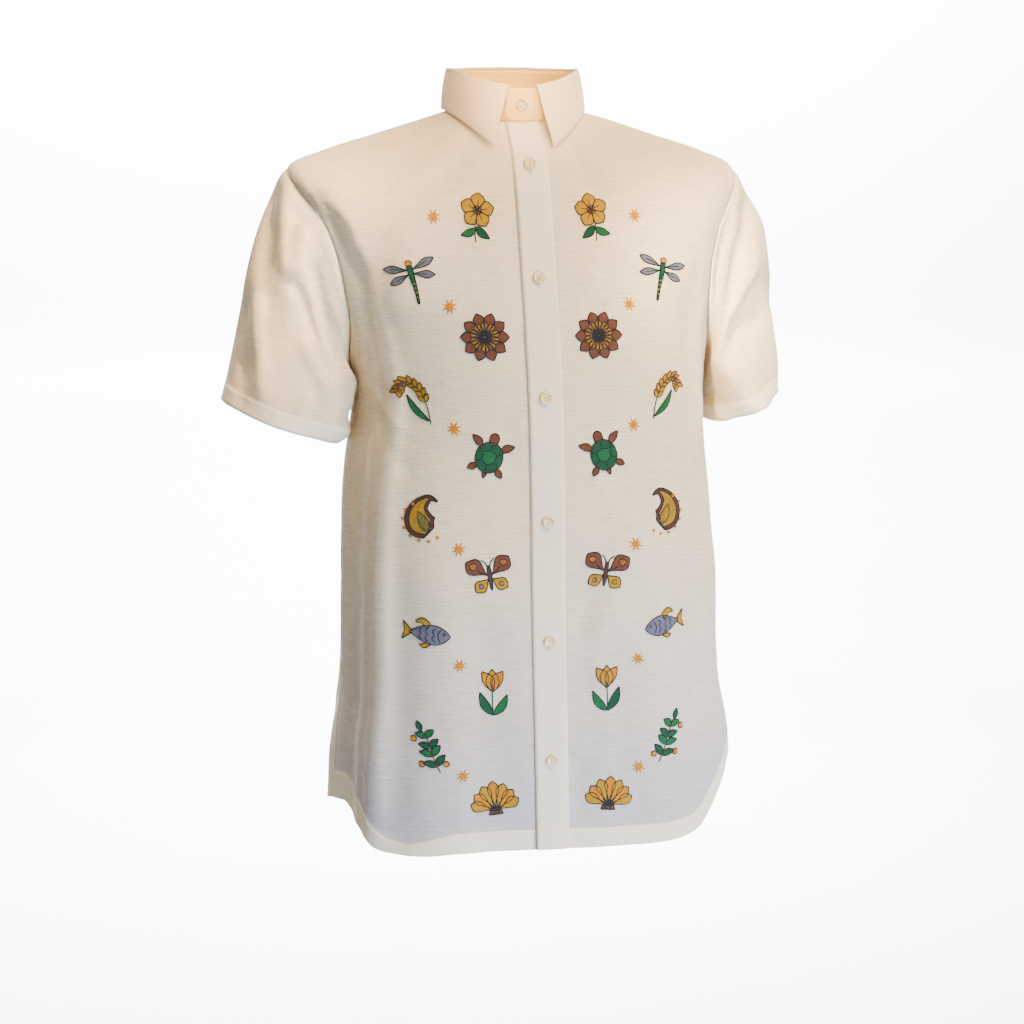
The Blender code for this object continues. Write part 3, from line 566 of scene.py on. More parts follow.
def front_grid(side):
    """Angles, rings and hem layers of a front, from its lap to its side (1 left, -1 right)."""
    armhole = fine(ARMHOLE_FRONT)[SHOULDER_SEAM_ROW * FINE:]
    seam = seam_rows()[:-1, None]
    seam = np.array((0, SHOULDER_SEAM_ANGLE)) * (1 - seam) + armhole[0] * seam
    below = side_rings()
    table = np.concatenate((seam, armhole, np.stack((below, 90 - vent_angle(below)), -1)))
    lap_shares = np.linspace(-0.5, 0.5, LAP_COLUMNS + 1)
    shares = np.concatenate((np.zeros(len(lap_shares)), side_shares(FRONT_COLUMNS)[1:]))
    rings = fan_rings(table[:, 0], len(seam), len(seam) + len(armhole) - 1, shares)
    lap = angle_at(side * PLACKET_WIDTH * lap_shares, rings[:, :len(lap_shares)])
    rest = lap[:, -1:] + (side * table[:, 1:] - lap[:, -1:]) * shares[len(lap_shares):]
    angles = np.concatenate((lap, rest), axis=1)
    return angles, hang_hem(angles, rings), hem_layers(rings, shares)


def hem_layers(rings, shares):
    """1 where a panel is doubled by its bottom hem or by the band beside a vent."""
    bottom = rings >= BAND_RING
    beside = (shares >= 1 - SIDE_BAND) & (rings >= VENT_RING)
    return (bottom | beside).astype(float)


def back_seam_ring(angle):
    """Ring of the yoke's back seam at an angle on the back."""
    corner_ring, corner_angle = ARMHOLE_BACK[YOKE_SEAM_ROW]
    share = smooth((180 - np.abs(angle - 180) - corner_angle) / (180 - corner_angle))
    return corner_ring + (YOKE_BACK_RING - corner_ring) * share


def back_grid():
    """Angles, rings and hem layers of the back, from the wearer's left side to the right."""
    armhole = fine(ARMHOLE_BACK)[YOKE_SEAM_ROW * FINE:]
    below = side_rings()
    table = np.concatenate((armhole, np.stack((below, 90 + vent_angle(below)), -1)))
    half_shares = side_shares(BACK_COLUMNS)
    shares = 1 - half_shares[::-1]
    half = table[:, 1:] + (180 - table[:, 1:]) * shares
    angles = all_round(half)
    spread = np.concatenate((half_shares[::-1], half_shares[1:]))
    rings = fan_rings(table[:, 0], 0, len(armhole) - 1, spread)
    layers = hem_layers(rings, spread)
    fade = np.clip((ARMPIT_RING - rings) / (ARMPIT_RING - armhole[0, 0]), 0, 1)
    rings = rings + (back_seam_ring(angles[:1]) - armhole[0, 0]) * fade
    return angles, hang_hem(angles, rings), layers


def yoke_grid():
    """Angles and rings of the yoke, from the wearer's left front seam around to the right one."""
    front, back = fine(ARMHOLE_FRONT), fine(ARMHOLE_BACK)
    over = np.concatenate((front[SHOULDER_SEAM_ROW * FINE:0:-1], back[:YOKE_SEAM_ROW * FINE]))
    seam = np.linspace(ARMHOLE_BACK[YOKE_SEAM_ROW][1], 180, BACK_COLUMNS + 1)
    neck = np.concatenate((
        np.linspace(SHOULDER_SEAM_ANGLE, YOKE_BACK_ANGLE, len(over) + 1)[:-1],
        np.linspace(YOKE_BACK_ANGLE, 180, BACK_COLUMNS + 1),
    ))
    angle = np.concatenate((over[:, 1], seam))
    ring = np.concatenate((over[:, 0], back_seam_ring(seam)))
    shares = seam_rows()[:, None]
    neck, angle = all_round(neck), all_round(angle)
    return neck + (angle - neck) * shares, np.concatenate((ring, ring[-2::-1])) * shares


def edge_runs(points):
    """Distance of each point of a grid from its top, low, first and last edge, along its lines."""
    down = np.linalg.norm(np.diff(points, axis=0, prepend=points[:1]), axis=-1).cumsum(axis=0)
    across = np.linalg.norm(np.diff(points, axis=1, prepend=points[:, :1]), axis=-1).cumsum(axis=1)
    return {"top": down, "low": down[-1:] - down, "first": across, "last": across[:, -1:] - across}


class Panel:
    """A piece of cloth: its outer points, outward normals, weave coordinates and layers."""

    def __init__(self, points, normals, weave, layers):
        self.points, self.normals, self.weave, self.layers = points, normals, weave, layers

    def reversed(self):
        """The same panel with its columns in the other order."""
        grids = (self.points, self.normals, self.weave, self.layers)
        return Panel(*(grid[:, ::-1] for grid in grids))

    def doubled(self):
        """Where its cloth is turned up into a band."""
        return self.layers > DOUBLED

    def at(self, rows, columns):
        """Points and normals at fractional rows and columns."""
        rows, columns = np.broadcast_arrays(np.asarray(rows, float), np.asarray(columns, float))
        row = np.clip(rows.astype(int), 0, self.points.shape[0] - 2)
        column = np.clip(columns.astype(int), 0, self.points.shape[1] - 2)
        part_row, part_column = (rows - row)[:, None], (columns - column)[:, None]
        found = []
        for grid in (self.points, self.normals):
            upper = grid[row, column] * (1 - part_column) + grid[row, column + 1] * part_column
            lower = grid[row + 1, column] * (1 - part_column) + grid[row + 1, column + 1] * part_column
            found.append(upper * (1 - part_row) + lower * part_row)
        return found[0], unit(found[1])


def weave_level(angle, height):
    """How far up its own weave a height lies, measured along the outline at an angle."""
    line = form(np.full(WEAVE_STEPS, angle), np.linspace(HEM_RING, 0, WEAVE_STEPS))
    past = height - np.clip(height, line[0, 2], line[-1, 2])
    return np.interp(height, line[:, 2], distances(line)) + past


def pucker_wave(run):
    """Uneven waves along a stitched band, from its length."""
    drift = PUCKER_DRIFT * np.sin(run / PUCKER_DRIFT_LENGTH)
    return np.sin(2 * np.pi * (run / PUCKER_LENGTH + drift))


def groove(away):
    """Depth of a seam's groove at a distance from it."""
    return SEAM_DIP * np.exp(-(away / SEAM_REACH) ** 2)


def allowance(away):
    """How doubled cloth looks at a distance from a seam."""
    return ALLOWANCE_LAYER * smooth((ALLOWANCE - away) / ALLOWANCE_FADE)


def body_panel(angles, rings, layers, seams, lift=0, grain=60):
    """A stretch of the body's cloth, with a groove along the edges that are seams."""
    points = body(angles, rings)
    flat = form(angles, rings)
    weave = np.stack((edge_runs(flat)["first"], weave_level(grain, flat[..., 2])), -1)
    normals = normal_of(body, angles, rings)
    runs = edge_runs(points)
    away = np.minimum.reduce([runs[edge] for edge in seams])
    sewn = rings < VENT_RING
    pucker = PUCKER * pucker_wave(runs["first"]) * np.exp(-((rings - BAND_RING) / PUCKER_RINGS) ** 2)
    points = points + normals * (layers * HEM_RISE - groove(away) * sewn + lift + pucker)[..., None]
    return Panel(points, normals, weave, np.maximum(layers, allowance(away) * sewn))


# ---- meshes ----


def add_object(name, data):
    """An object in the scene that shows a mesh, camera or light."""
    made = bpy.data.objects.new(name, data)
    bpy.context.scene.collection.objects.link(made)
    return made


def add_piece(name, points, faces, material, replaced=(), weave=None):
    """Make an object that rides on the shirt, with weave coordinates at its points if given."""
    mesh = bpy.data.meshes.new(name)
    mesh.from_pydata(np.asarray(points).tolist(), [], faces)
    mesh.shade_smooth()
    if weave is not None:
        corners = np.empty(len(mesh.loops), dtype=np.int32)
        mesh.loops.foreach_get("vertex_index", corners)
        layer = mesh.uv_layers.new(name="weave")
        layer.data.foreach_set("uv", np.asarray(weave, np.float32)[corners].ravel())
    mesh.materials.append(material)
    piece = add_object(name, mesh)
    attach(piece, "root")
    if replaced:
        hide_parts(*replaced)
    return piece


def grid_faces(rows, columns, start=0, flip=False):
    """Four-sided faces of a grid of points."""
    row, column = np.meshgrid(np.arange(rows - 1), np.arange(columns - 1), indexing="ij")
    first = (row * columns + column + start).ravel()
    faces = np.stack((first, first + columns, first + columns + 1, first + 1), -1)
    return (faces[:, ::-1] if flip else faces).tolist()


def rim_faces(rows, columns, inside):
    """Faces that join the edges of an outer grid and an inner one."""
    ids = np.arange(rows * columns).reshape(rows, columns)
    loop = np.concatenate((ids[:, 0], ids[-1, 1:], ids[-2::-1, -1], ids[0, -2:0:-1]))
    after = np.roll(loop, -1)
    return np.stack((after, loop, loop + inside, after + inside), -1).tolist()


def add_shell(name, node, panel, thick, material, tube=False):
    """Make the shell of a panel in a node's place. A tube's last column lies on its first."""
    rows, columns = panel.points.shape[:2]
    doubled = np.where(panel.doubled(), HEM_RISE * 2, 0) if thick == CLOTH else 0
    depth = np.broadcast_to(thick + doubled, (rows, columns))
    inner = panel.points - panel.normals * depth[..., None]
    points = np.concatenate((panel.points.reshape(-1, 3), inner.reshape(-1, 3)))
    inside = rows * columns
    faces = grid_faces(rows, columns) + grid_faces(rows, columns, inside, flip=True)
    if tube:
        ids = np.arange(columns - 1)
        low = ids + (rows - 1) * columns
        faces += np.stack((ids, ids + 1, ids + 1 + inside, ids + inside), -1).tolist()
        faces += np.stack((low + 1, low, low + inside, low + 1 + inside), -1).tolist()
    else:
        faces += rim_faces(rows, columns, inside)
    weave = np.tile(panel.weave.reshape(-1, 2), (2, 1))
    piece = add_piece(name, points, faces, material, [node], weave)
    layers = piece.data.attributes.new("layers", "FLOAT", "POINT")
    layers.data.foreach_set("value", np.tile(panel.layers.ravel(), 2))
    if tube:
        close_tube(piece)


def close_tube(piece):
    """Join the first and last columns of a tube."""
    shape = bmesh.new()
    shape.from_mesh(piece.data)
    bmesh.ops.remove_doubles(shape, verts=shape.verts, dist=1e-6)
    shape.to_mesh(piece.data)
    shape.free()


# ---- threads ----

THREAD_SECTION = np.array(((-0.5, -0.2), (-0.3, 0.7), (0.3, 0.7), (0.5, -0.2)))
THREAD_END = 0.4             # a thread's ends shrink to this share of its width
END_SINK = 0.3               # and sink by this share of its height


class Threads:
    """Collects threads that lie on cloth and makes one mesh of them."""

    def __init__(self):
        self.points, self.faces, self.colours, self.count = [], [], [], 0

    def lay(self, paths, normals, width, height, colours):
        """Lay threads along paths (threads, points, 3), with their ends sunk in."""
        amount, length = paths.shape[:2]
        size = np.ones(length)
        size[[0, -1]] = THREAD_END
        run = unit(np.gradient(paths, axis=1))
        across = unit(np.cross(run, normals))[:, :, None]
        up = normals[:, :, None]
        sideways = across * THREAD_SECTION[:, :1] * (width * size)[None, :, None, None]
        lift = THREAD_SECTION[:, 1:] * size[:, None, None] - END_SINK * (size < 1)[:, None, None]
        rings = paths[:, :, None] + sideways + up * lift[None] * height
        sides = len(THREAD_SECTION)
        ids = self.count + np.arange(amount * length * sides).reshape(amount, length, sides)
        after = np.roll(ids, -1, axis=2)
        walls = np.stack((ids[:, :-1], ids[:, 1:], after[:, 1:], after[:, :-1]), -1)
        self.faces += [walls.reshape(-1, 4), ids[:, 0], ids[:, -1, ::-1]]
        self.points.append(rings.reshape(-1, 3))
        colours = np.broadcast_to(np.asarray(colours)[..., :3], (amount, 3))
        self.colours.append(np.repeat(colours, length * sides, axis=0))
        self.count += ids.size

    def make(self, name, material):
        """Make the piece."""
        faces = np.concatenate(self.faces).tolist()
        piece = add_piece(name, np.concatenate(self.points), faces, material)
        layer = piece.data.color_attributes.new("thread", "FLOAT_COLOR", "POINT")
        colours = np.concatenate(self.colours)
        layer.data.foreach_set("color", np.column_stack((colours, np.ones(len(colours)))).ravel())
        return piece


STITCH_PITCH = 2.9 * MM
STITCH_LENGTH = 2.35 * MM
STITCH_WIDTH = 0.42 * MM
STITCH_HEIGHT = 0.3 * MM
STITCH_POINTS = np.linspace(-0.5, 0.5, 4)
EDGE_STITCH = 2.2 * MM       # from an edge to its row of stitches
HEM_STITCH = 1.6 * MM        # from a band's upper edge
COLLAR_STITCH = 5.5 * MM
# Edges of the leaf that are sewn along, and the shares of their length between which they are.
LEAF_STITCHES = (("low", (0.01, 0.99)), ("first", (0.45, 0.9)), ("last", (0.45, 0.9)))


def resample(points, normals, places):
    """Points and normals of a path at distances along it."""
    travelled = distances(points)
    found = [np.stack([np.interp(places, travelled, grid[:, axis]) for axis in range(3)], -1)
             for grid in (points, normals)]
    return found[0], unit(found[1])


def sew(threads, points, normals):
    """Lay a row of stitches along a path."""
    length = path_length(points)
    count = int(length / STITCH_PITCH)
    middles = (np.arange(count) + 0.5) * length / count
    places = middles[:, None] + STITCH_POINTS * STITCH_LENGTH
    threads.lay(*resample(points, normals, places), STITCH_WIDTH, STITCH_HEIGHT, THREAD_COLOUR)


def line_beside(panel, edge, distance):
    """Path on a panel at a distance from one of its edges."""
    runs = edge_runs(panel.points)[edge]
    along_rows = edge in ("top", "low")
    lines = runs.T if along_rows else runs
    index = np.arange(lines.shape[1])
    if edge in ("low", "last"):
        lines, index = lines[:, ::-1], index[::-1]
    place = np.array([np.interp(distance, line, index) for line in lines])
    other = np.arange(len(place))
    return panel.at(place, other) if along_rows else panel.at(other, place)


def cut_path(path, low, high):
    """The stretch of a path between two shares of its length."""
    last = len(path[0]) - 1
    keep = np.s_[int(low * last):int(high * last) + 1]
    return path[0][keep], path[1][keep]


def band_path(panel):
    """Path just below the upper edge of a panel's bottom band."""
    doubled = panel.doubled()
    rows = np.argmax(doubled[:, doubled.shape[1] // 2])
    height = edge_runs(panel.points)["low"]
    below = np.arange(rows, len(height))
    places = [np.interp(HEM_STITCH, line[rows] - line[rows:], below) for line in height.T]
    return panel.at(np.array(places), np.arange(len(places)))


def on_front(x, z, lift):
    """Points and normals on the front, over a place in its plane (m)."""
    angle, ring = front_place(x, z)
    normals = normal_of(body, angle, ring)
    return body(angle, ring) + normals * lift, normals


BUTTONHOLE_UP = 5.5 * MM     # reach above a button's middle, or to the free side on the stand
BUTTONHOLE_DOWN = 9 * MM
BUTTONHOLE_SIDE = 1.25 * MM  # half width
BUTTONHOLE_SLIT = 0.18 * MM
BUTTONHOLE_PITCH = 0.42 * MM
BUTTONHOLE_BAR = 1.6 * MM    # half width of the bar at each end
BAR_THREADS = np.array((-0.6, 0, 0.6)) * MM
BUTTONHOLE_WIDTH = 0.5 * MM
BUTTONHOLE_HEIGHT = 0.4 * MM


def sew_buttonhole(threads, place_on):
    """Lay a buttonhole's threads. place_on turns places along and across it into points."""
    steps = np.arange(-BUTTONHOLE_DOWN, BUTTONHOLE_UP, BUTTONHOLE_PITCH)
    paths = []
    for side in (-1, 1):
        across = side * np.linspace(BUTTONHOLE_SLIT, BUTTONHOLE_SIDE, 4)
        paths.append(np.stack(np.broadcast_arrays(steps[:, None], across), -1))
    for end in (-BUTTONHOLE_DOWN, BUTTONHOLE_UP):
        across = np.linspace(-BUTTONHOLE_BAR, BUTTONHOLE_BAR, 4)
        paths.append(np.stack(np.broadcast_arrays(end + BAR_THREADS[:, None], across), -1))
    paths = np.concatenate(paths)
    points, normals = place_on(paths[..., 0], paths[..., 1])
    threads.lay(points, normals, BUTTONHOLE_WIDTH, BUTTONHOLE_HEIGHT, THREAD_COLOUR)


# ---- embroidery ----

PITCH = 0.55                 # between the threads of a filled shape, in mm
FILL_WIDTH = 0.78
FILL_HEIGHT = 0.42
LONGEST = 6.5                # longest thread in a fill
FILL_PLACES = np.array((0, 0.1, 0.9, 1))
FILL_LAP = 0.3               # past each end of a fill's thread
CUT_SHIFT = 0.3              # share of a thread that cuts are shifted by from row to row
OUTLINE_STEP = 1.3
OUTLINE_WIDTH = 1.15
OUTLINE_HEIGHT = 0.62
OUTLINE_UP = 0.35            # share of a fill's height that an outline lies up
EMBROIDERY_LIFT = 0.26       # above the cloth's own surface


def oval(x, y, half_width, half_height, turn=0, points=28):
    """Outline of an oval (mm), turned by degrees."""
    around = np.linspace(0, 2 * np.pi, points, endpoint=False)
    shape = np.stack((half_width * np.cos(around), half_height * np.sin(around)), -1)
    return spin(shape, turn) + (x, y)


def spin(shape, turn):
    """A shape turned by degrees about its origin."""
    turn = math.radians(turn)
    cos, sin = math.cos(turn), math.sin(turn)
    return np.asarray(shape, float) @ np.array(((cos, sin), (-sin, cos)))


def leaf(x, y, length, width, turn, fullest=0.45, bend=0, points=12):
    """Outline of a leaf or petal from its base, along a direction in degrees."""
    share = np.linspace(0, 1, points)
    bow = math.log(0.5) / math.log(fullest)
    half = width / 2 * np.sin(np.pi * share ** bow)
    middle = bend * np.sin(np.pi * share)
    upper = np.stack((share * length, middle + half), -1)
    lower = np.stack((share * length, middle - half), -1)[-2:0:-1]
    return spin(np.concatenate((upper, lower)), turn) + (x, y)


def star(x, y, outer, inner, rays, turn=0):
    """Outline of a star."""
    around = np.radians(turn + np.arange(2 * rays) * 180 / rays)
    reach = np.where(np.arange(2 * rays) % 2, inner, outer)
    return np.stack((x + reach * np.cos(around), y + reach * np.sin(around)), -1)


def curve(*places, points=24):
    """A smooth path through places."""
    return along(np.array(places, float), np.linspace(0, len(places) - 1, points))


def band(path, widths):
    """Outline of a strip along a path whose width runs smoothly through widths."""
    path = np.asarray(path, float)
    widths = np.array(widths, float)[:, None]
    half = along(widths, np.linspace(0, len(widths) - 1, len(path))) / 2
    run = np.gradient(path, axis=0)
    side = np.stack((-run[:, 1], run[:, 0]), -1) / np.linalg.norm(run, axis=1, keepdims=True)
    return np.concatenate((path + side * half, (path - side * half)[::-1]))


def hatch(outline, turn):
    """Threads that fill an outline in a direction, as ends (threads, 2, 2)."""
    shape = spin(outline, -turn)
    after = np.roll(shape, -1, axis=0)
    threads = []
    for row, y in enumerate(np.arange(shape[:, 1].min() + PITCH / 2, shape[:, 1].max(), PITCH)):
        hit = (shape[:, 1] > y) != (after[:, 1] > y)
        here, there = shape[hit], after[hit]
        part = (y - here[:, 1]) / (there[:, 1] - here[:, 1])
        crossings = np.sort(here[:, 0] + part * (there[:, 0] - here[:, 0]))
        for start, end in zip(crossings[::2], crossings[1::2]):
            count = max(1, math.ceil((end - start) / LONGEST))
            cuts = np.linspace(start, end, count + 1)
            if count > 1:
                cuts[1:-1] += (row % 3 - 1) * (end - start) / count * CUT_SHIFT
            threads += [((first - FILL_LAP, y), (last + FILL_LAP, y)) for first, last in zip(cuts, cuts[1:])]
    return spin(np.array(threads), turn)


BROWN, GOLD, GREEN, INK, LILAC, ORANGE, RUST, LEAF_GREEN = range(8)
THREAD_SHADES = (
    (0.26, 0.145, 0.105), (0.68, 0.49, 0.0), (0.0, 0.24, 0.13), (0.02, 0.018, 0.022),
    (0.38, 0.365, 0.40), (0.76, 0.47, 0.0), (0.36, 0.20, 0.12), (0.03, 0.33, 0.15),
)


class Motif:
    """A motif's filled shapes and lines, in mm about its middle."""

    def __init__(self):
        self.fills, self.lines = [], []

    def fill(self, outline, colour, turn=0, edge=INK):
        """Fill an outline with threads, and outline it."""
        self.fills.append((outline, colour, turn))
        if edge is not None:
            self.lines.append((np.concatenate((outline, outline[:1])), edge))

    def petal(self, x, y, length, width, turn, colour, **shape):
        """Fill a leaf or petal with threads that run along it."""
        self.fill(leaf(x, y, length, width, turn, **shape), colour, turn)

    def line(self, path, colour=INK):
        """Lay a line of thread."""
        self.lines.append((np.asarray(path, float), colour))


def blossom(made):
    """Five-petalled flower on a stem with two leaves."""
    made.petal(0, -8, 16, 7, 215, GREEN, bend=1)
    made.petal(0, -10, 15, 6.5, -30, LEAF_GREEN, bend=-1)
    made.line(curve((0, 0), (1, -10), (-1, -22)), GREEN)
    for petal in range(5):
        turn = 90 + petal * 72
        made.petal(0, 6, 15.5, 12.5, turn, GOLD, fullest=0.62)
        made.line(curve((0, 6), tuple(spin((9.5, 0.5), turn) + (0, 6)), points=8), BROWN)
    made.fill(oval(0, 6, 3.8, 3.8), BROWN, 20)


def butterfly(made):
    """Butterfly with spotted wings."""
    for side in (-1, 1):
        flip = np.array((side, 1))
        made.fill(leaf(1.5, -1, 17, 12, -38, fullest=0.62) * flip, GOLD, -38 * side)
        made.fill(leaf(1.5, 2, 24, 16, 40, fullest=0.66) * flip, RUST, 40 * side)
        made.fill(oval(14, 12.5, 3, 3) * flip, ORANGE, 0)
        made.fill(oval(9.5, -7, 2.2, 2.2) * flip, LILAC, 0)
        made.line(curve((1.5, 2), (8, 6), (11, 9.5), points=8) * flip, INK)
        made.line(curve((0.5, 10), (3, 15), (6.5, 18)) * flip, INK)
    made.fill(band(curve((0, 11), (0, 4), (0, -4), (0, -12)), (2.4, 3.4, 3, 1)), BROWN, 0)


def fish(made):
    """Fish that swims to its left, with scales."""
    made.fill(np.array(((13, 0), (23, 9), (20.5, 0), (23, -9))), GOLD, 90)
    made.fill(band(curve((-1, 8), (5, 12.5), (11, 10)), (6, 5, 1)), GOLD, 70)
    made.fill(band(curve((-2, -8), (2, -11.5), (6, -11)), (5, 4, 1)), GOLD, -70)
    made.fill(leaf(-21, 0, 38, 19, 0, fullest=0.42), LILAC, 90)
    for column, half in ((-6, 7), (0, 7.5), (6, 5.5)):
        made.line(curve((column - 2, half), (column + 1.5, half / 2), (column - 1, 0), points=10))
        made.line(curve((column - 1, 0), (column + 1.5, -half / 2), (column - 2, -half), points=10))
    made.line(curve((-12, 6.5), (-9.5, 0), (-12, -6.5), points=10))
    made.fill(oval(-15, 2, 1.3, 1.3, points=12), INK, 0)


def shell(made):
    """Scallop shell with ribs of two colours."""
    made.fill(np.array(((-7, -15), (7, -15), (4.5, -9), (-4.5, -9))), RUST, 0)
    ribs = 7
    for rib in range(ribs):
        turn = 90 + (rib - (ribs - 1) / 2) * 22
        length = 30 - abs(rib - 3) * 1.6
        made.fill(leaf(0, -12, length, 11, turn, fullest=0.74), (GOLD, ORANGE)[rib % 2], turn)
    made.fill(oval(0, -12, 3.4, 2.8), BROWN, 0)


def sprig(made):
    """Curved sprig of leaves and berries."""
    stem = curve((-9, -22), (-3, -8), (1, 6), (8, 20))
    made.line(stem, BROWN)
    for number, share in enumerate((0.2, 0.4, 0.6, 0.8)):
        x, y = stem[int(share * (len(stem) - 1))]
        for side in (-1, 1):
            turn = 66 - side * 56 + number * 3
            shade = (GREEN, LEAF_GREEN)[number % 2]
            made.fill(leaf(x, y, 14 - number, 6.5, turn, bend=side), shade, turn + 30)
    made.petal(8, 18, 10, 5.5, 70, GREEN)
    for x, y in ((-14, -13), (8, -14), (15, 10)):
        made.fill(oval(x, y, 2.8, 2.8, points=16), ORANGE, 40)


def paisley(made):
    """Curled drop in three colours with dots around it."""
    spine = curve((-4, -14), (2, -8), (5, 1), (3, 11), (-5, 18), (-12, 15))
    made.fill(band(spine, (14, 27, 24, 14, 6, 1)), BROWN, 15)
    made.fill(band(spine[1:-5], (8, 19, 16, 8, 2)), GOLD, 105)
    made.petal(-3, -13, 20, 9, 66, GREEN, fullest=0.4)
    for turn in range(-130, 61, 27):
        x, y = spin((18.5, 0), turn) + (0.5, -4)
        made.fill(oval(x, y, 1.5, 1.5, points=12), ORANGE, 0, edge=None)


def tulip(made):
    """Tulip with two long leaves."""
    made.petal(0, -22, 26, 8, 62, GREEN, bend=-2)
    made.petal(0, -22, 24, 7.5, 124, LEAF_GREEN, bend=2)
    made.line(curve((0, -22), (0.6, -8), (0, 4)), GREEN)
    for side in (-1, 1):
        turn = 90 - side * 27
        made.petal(0, 1, 22, 10.5, turn, ORANGE, fullest=0.5, bend=side * 1.5)
    made.petal(0, 0, 22.5, 12.5, 90, GOLD, fullest=0.48)
    made.line(curve((0, 3), (0, 9), (0, 14), points=8), RUST)


def rosette(made):
    """Round rosette of two rings of petals."""
    for petal in range(10):
        turn = petal * 36
        made.petal(0, 0, 22, 10.5, turn, RUST, fullest=0.68)
    for petal in range(10):
        turn = 18 + petal * 36
        made.petal(0, 0, 14.5, 7, turn, GOLD, fullest=0.64)
    made.fill(oval(0, 0, 4.4, 4.4), BROWN, 0)
    made.fill(oval(0, 0, 1.7, 1.7, points=12), ORANGE, 90, edge=None)


def turtle(made):
    """Turtle seen from above."""
    for side in (-1, 1):
        flip = np.array((side, 1))
        made.fill(leaf(8, 7, 15, 7, 38, fullest=0.5, bend=1) * flip, RUST, 38 * side)
        made.fill(leaf(8, -8, 11, 6, -42, fullest=0.5) * flip, RUST, -42 * side)
    made.fill(oval(0, 17.5, 4.4, 5.6), RUST, 90)
    made.fill(leaf(0, -12, 8, 3.6, -90), RUST, 90)
    made.fill(oval(0, 0, 12.5, 14.5), GREEN, 0)
    made.fill(star(0, 0, 7.4, 6.5, 3, 30), LEAF_GREEN, 90)
    for turn in range(30, 390, 60):
        made.line([spin((7.2, 0), turn), spin((12.7, 0), turn)])


def dragonfly(made):
    """Dragonfly with four spread wings."""
    for side in (-1, 1):
        flip = np.array((side, 1))
        made.fill(leaf(1, 8, 23, 6.6, 16, fullest=0.64) * flip, LILAC, 16 * side)
        made.fill(leaf(1, 5, 20, 6.4, -16, fullest=0.64) * flip, LILAC, -16 * side)
        made.line(curve((2, 8.5), (10, 10.8), (17, 12.6), points=8) * flip, GREEN)
        made.line(curve((2, 4.6), (9, 2.6), (15, 0.9), points=8) * flip, GREEN)
    made.fill(band(curve((0, 12), (0, 2), (0, -10), (1, -22)), (4.6, 4.2, 2.4, 1.6)), GREEN, 0)
    made.fill(oval(0, 14, 3, 2.6, points=16), ORANGE, 0)
    for y in (-4, -8, -12, -16):
        made.line(((-1.6, y), (1.6, y)), GOLD)


def rice_ear(made):
    """Bending ear of grain with a long leaf."""
    stem = curve((-8, -23), (-5, -6), (1, 8), (11, 15), (17, 8))
    made.petal(-7, -20, 30, 5.5, 52, LEAF_GREEN, bend=-3)
    made.line(stem, GREEN)
    for share in np.linspace(0.34, 0.98, 9):
        place = share * (len(stem) - 1)
        x, y = stem[int(place)]
        ahead = stem[min(int(place) + 1, len(stem) - 1)] - stem[max(int(place) - 1, 0)]
        turn = math.degrees(math.atan2(ahead[1], ahead[0]))
        for side in (-1, 1):
            lean = turn + side * 32
            made.fill(leaf(x, y, 8.6, 4, lean, fullest=0.5), GOLD, lean, edge=BROWN)


def small_star(made):
    """Small star of eight rays."""
    made.fill(star(0, 0, 6.8, 2.3, 8, 22.5), ORANGE, 22, edge=None)


# Motifs of each side: how far out and how high their middles are (mm), and their turn (degrees).
MOTIFS = (
    (blossom, 53, -98, 8), (dragonfly, 113, -152, -14), (rosette, 52, -203, 0),
    (rice_ear, 111, -260, 0), (turtle, 53, -312, 18), (paisley, 112, -368, 0),
    (butterfly, 54, -424, -8), (fish, 112, -478, 6), (tulip, 54, -535, 0),
    (sprig, 113, -590, 0), (shell, 55, -640, -6),
    (small_star, 92, -98, 0), (small_star, 82, -176, 0), (small_star, 83, -286, 0), (small_star, 82, -397, 0),
    (small_star, 84, -508, 0), (small_star, 84, -615, 0),
)
SHADE_SPREAD = 0.12          # of the threads of a fill, from one to the next
SHADE_TURN = 2.4


def lay_motif(threads, motif, side, x, z, turn):
    """Lay a motif's threads on a front."""
    place = np.array((side * x, z))
    flip = np.array((side, 1))
    shades = np.array([linear(*shade) for shade in THREAD_SHADES])
    for outline, colour, direction in motif.fills:
        ends = hatch(outline, direction)
        share = FILL_PLACES[:, None]
        flat = ends[:, None, 0] * (1 - share) + ends[:, None, 1] * share
        flat = (spin(flat, turn) * flip + place) * MM
        uneven = 1 + SHADE_SPREAD * np.sin(np.arange(len(flat)) * SHADE_TURN + x)
        points, normals = on_front(flat[..., 0], flat[..., 1], EMBROIDERY_LIFT * MM)
        threads.lay(points, normals, FILL_WIDTH * MM, FILL_HEIGHT * MM, shades[colour] * uneven[:, None])
    for path, colour in motif.lines:
        flat = (spin(path, turn) * flip + place) * MM
        length = path_length(flat)
        rough = np.column_stack((flat, np.zeros(len(flat))))
        steps = np.linspace(0, length, max(3, int(length / OUTLINE_STEP / MM) + 1))
        flat = resample(rough, rough + 1, steps)[0]
        lift = (EMBROIDERY_LIFT + FILL_HEIGHT * OUTLINE_UP) * MM
        points, normals = on_front(flat[:, 0], flat[:, 1], lift)
        threads.lay(points[None], normals[None], OUTLINE_WIDTH * MM, OUTLINE_HEIGHT * MM, shades[colour])


def make_embroidery(side, material):
    """The motifs of one front."""
    threads = Threads()
    for design, x, z, turn in MOTIFS:
        motif = Motif()
        design(motif)
        lay_motif(threads, motif, side, x, z, turn)
    return threads.make("embroidery_" + ("left" if side > 0 else "right"), material)


# ---- materials ----


def linear(*screen):
    """Scene colour, with its alpha, of a screen colour."""
    return (*(((c + 0.055) / 1.055) ** 2.4 if c > 0.04045 else c / 12.92 for c in screen), 1)


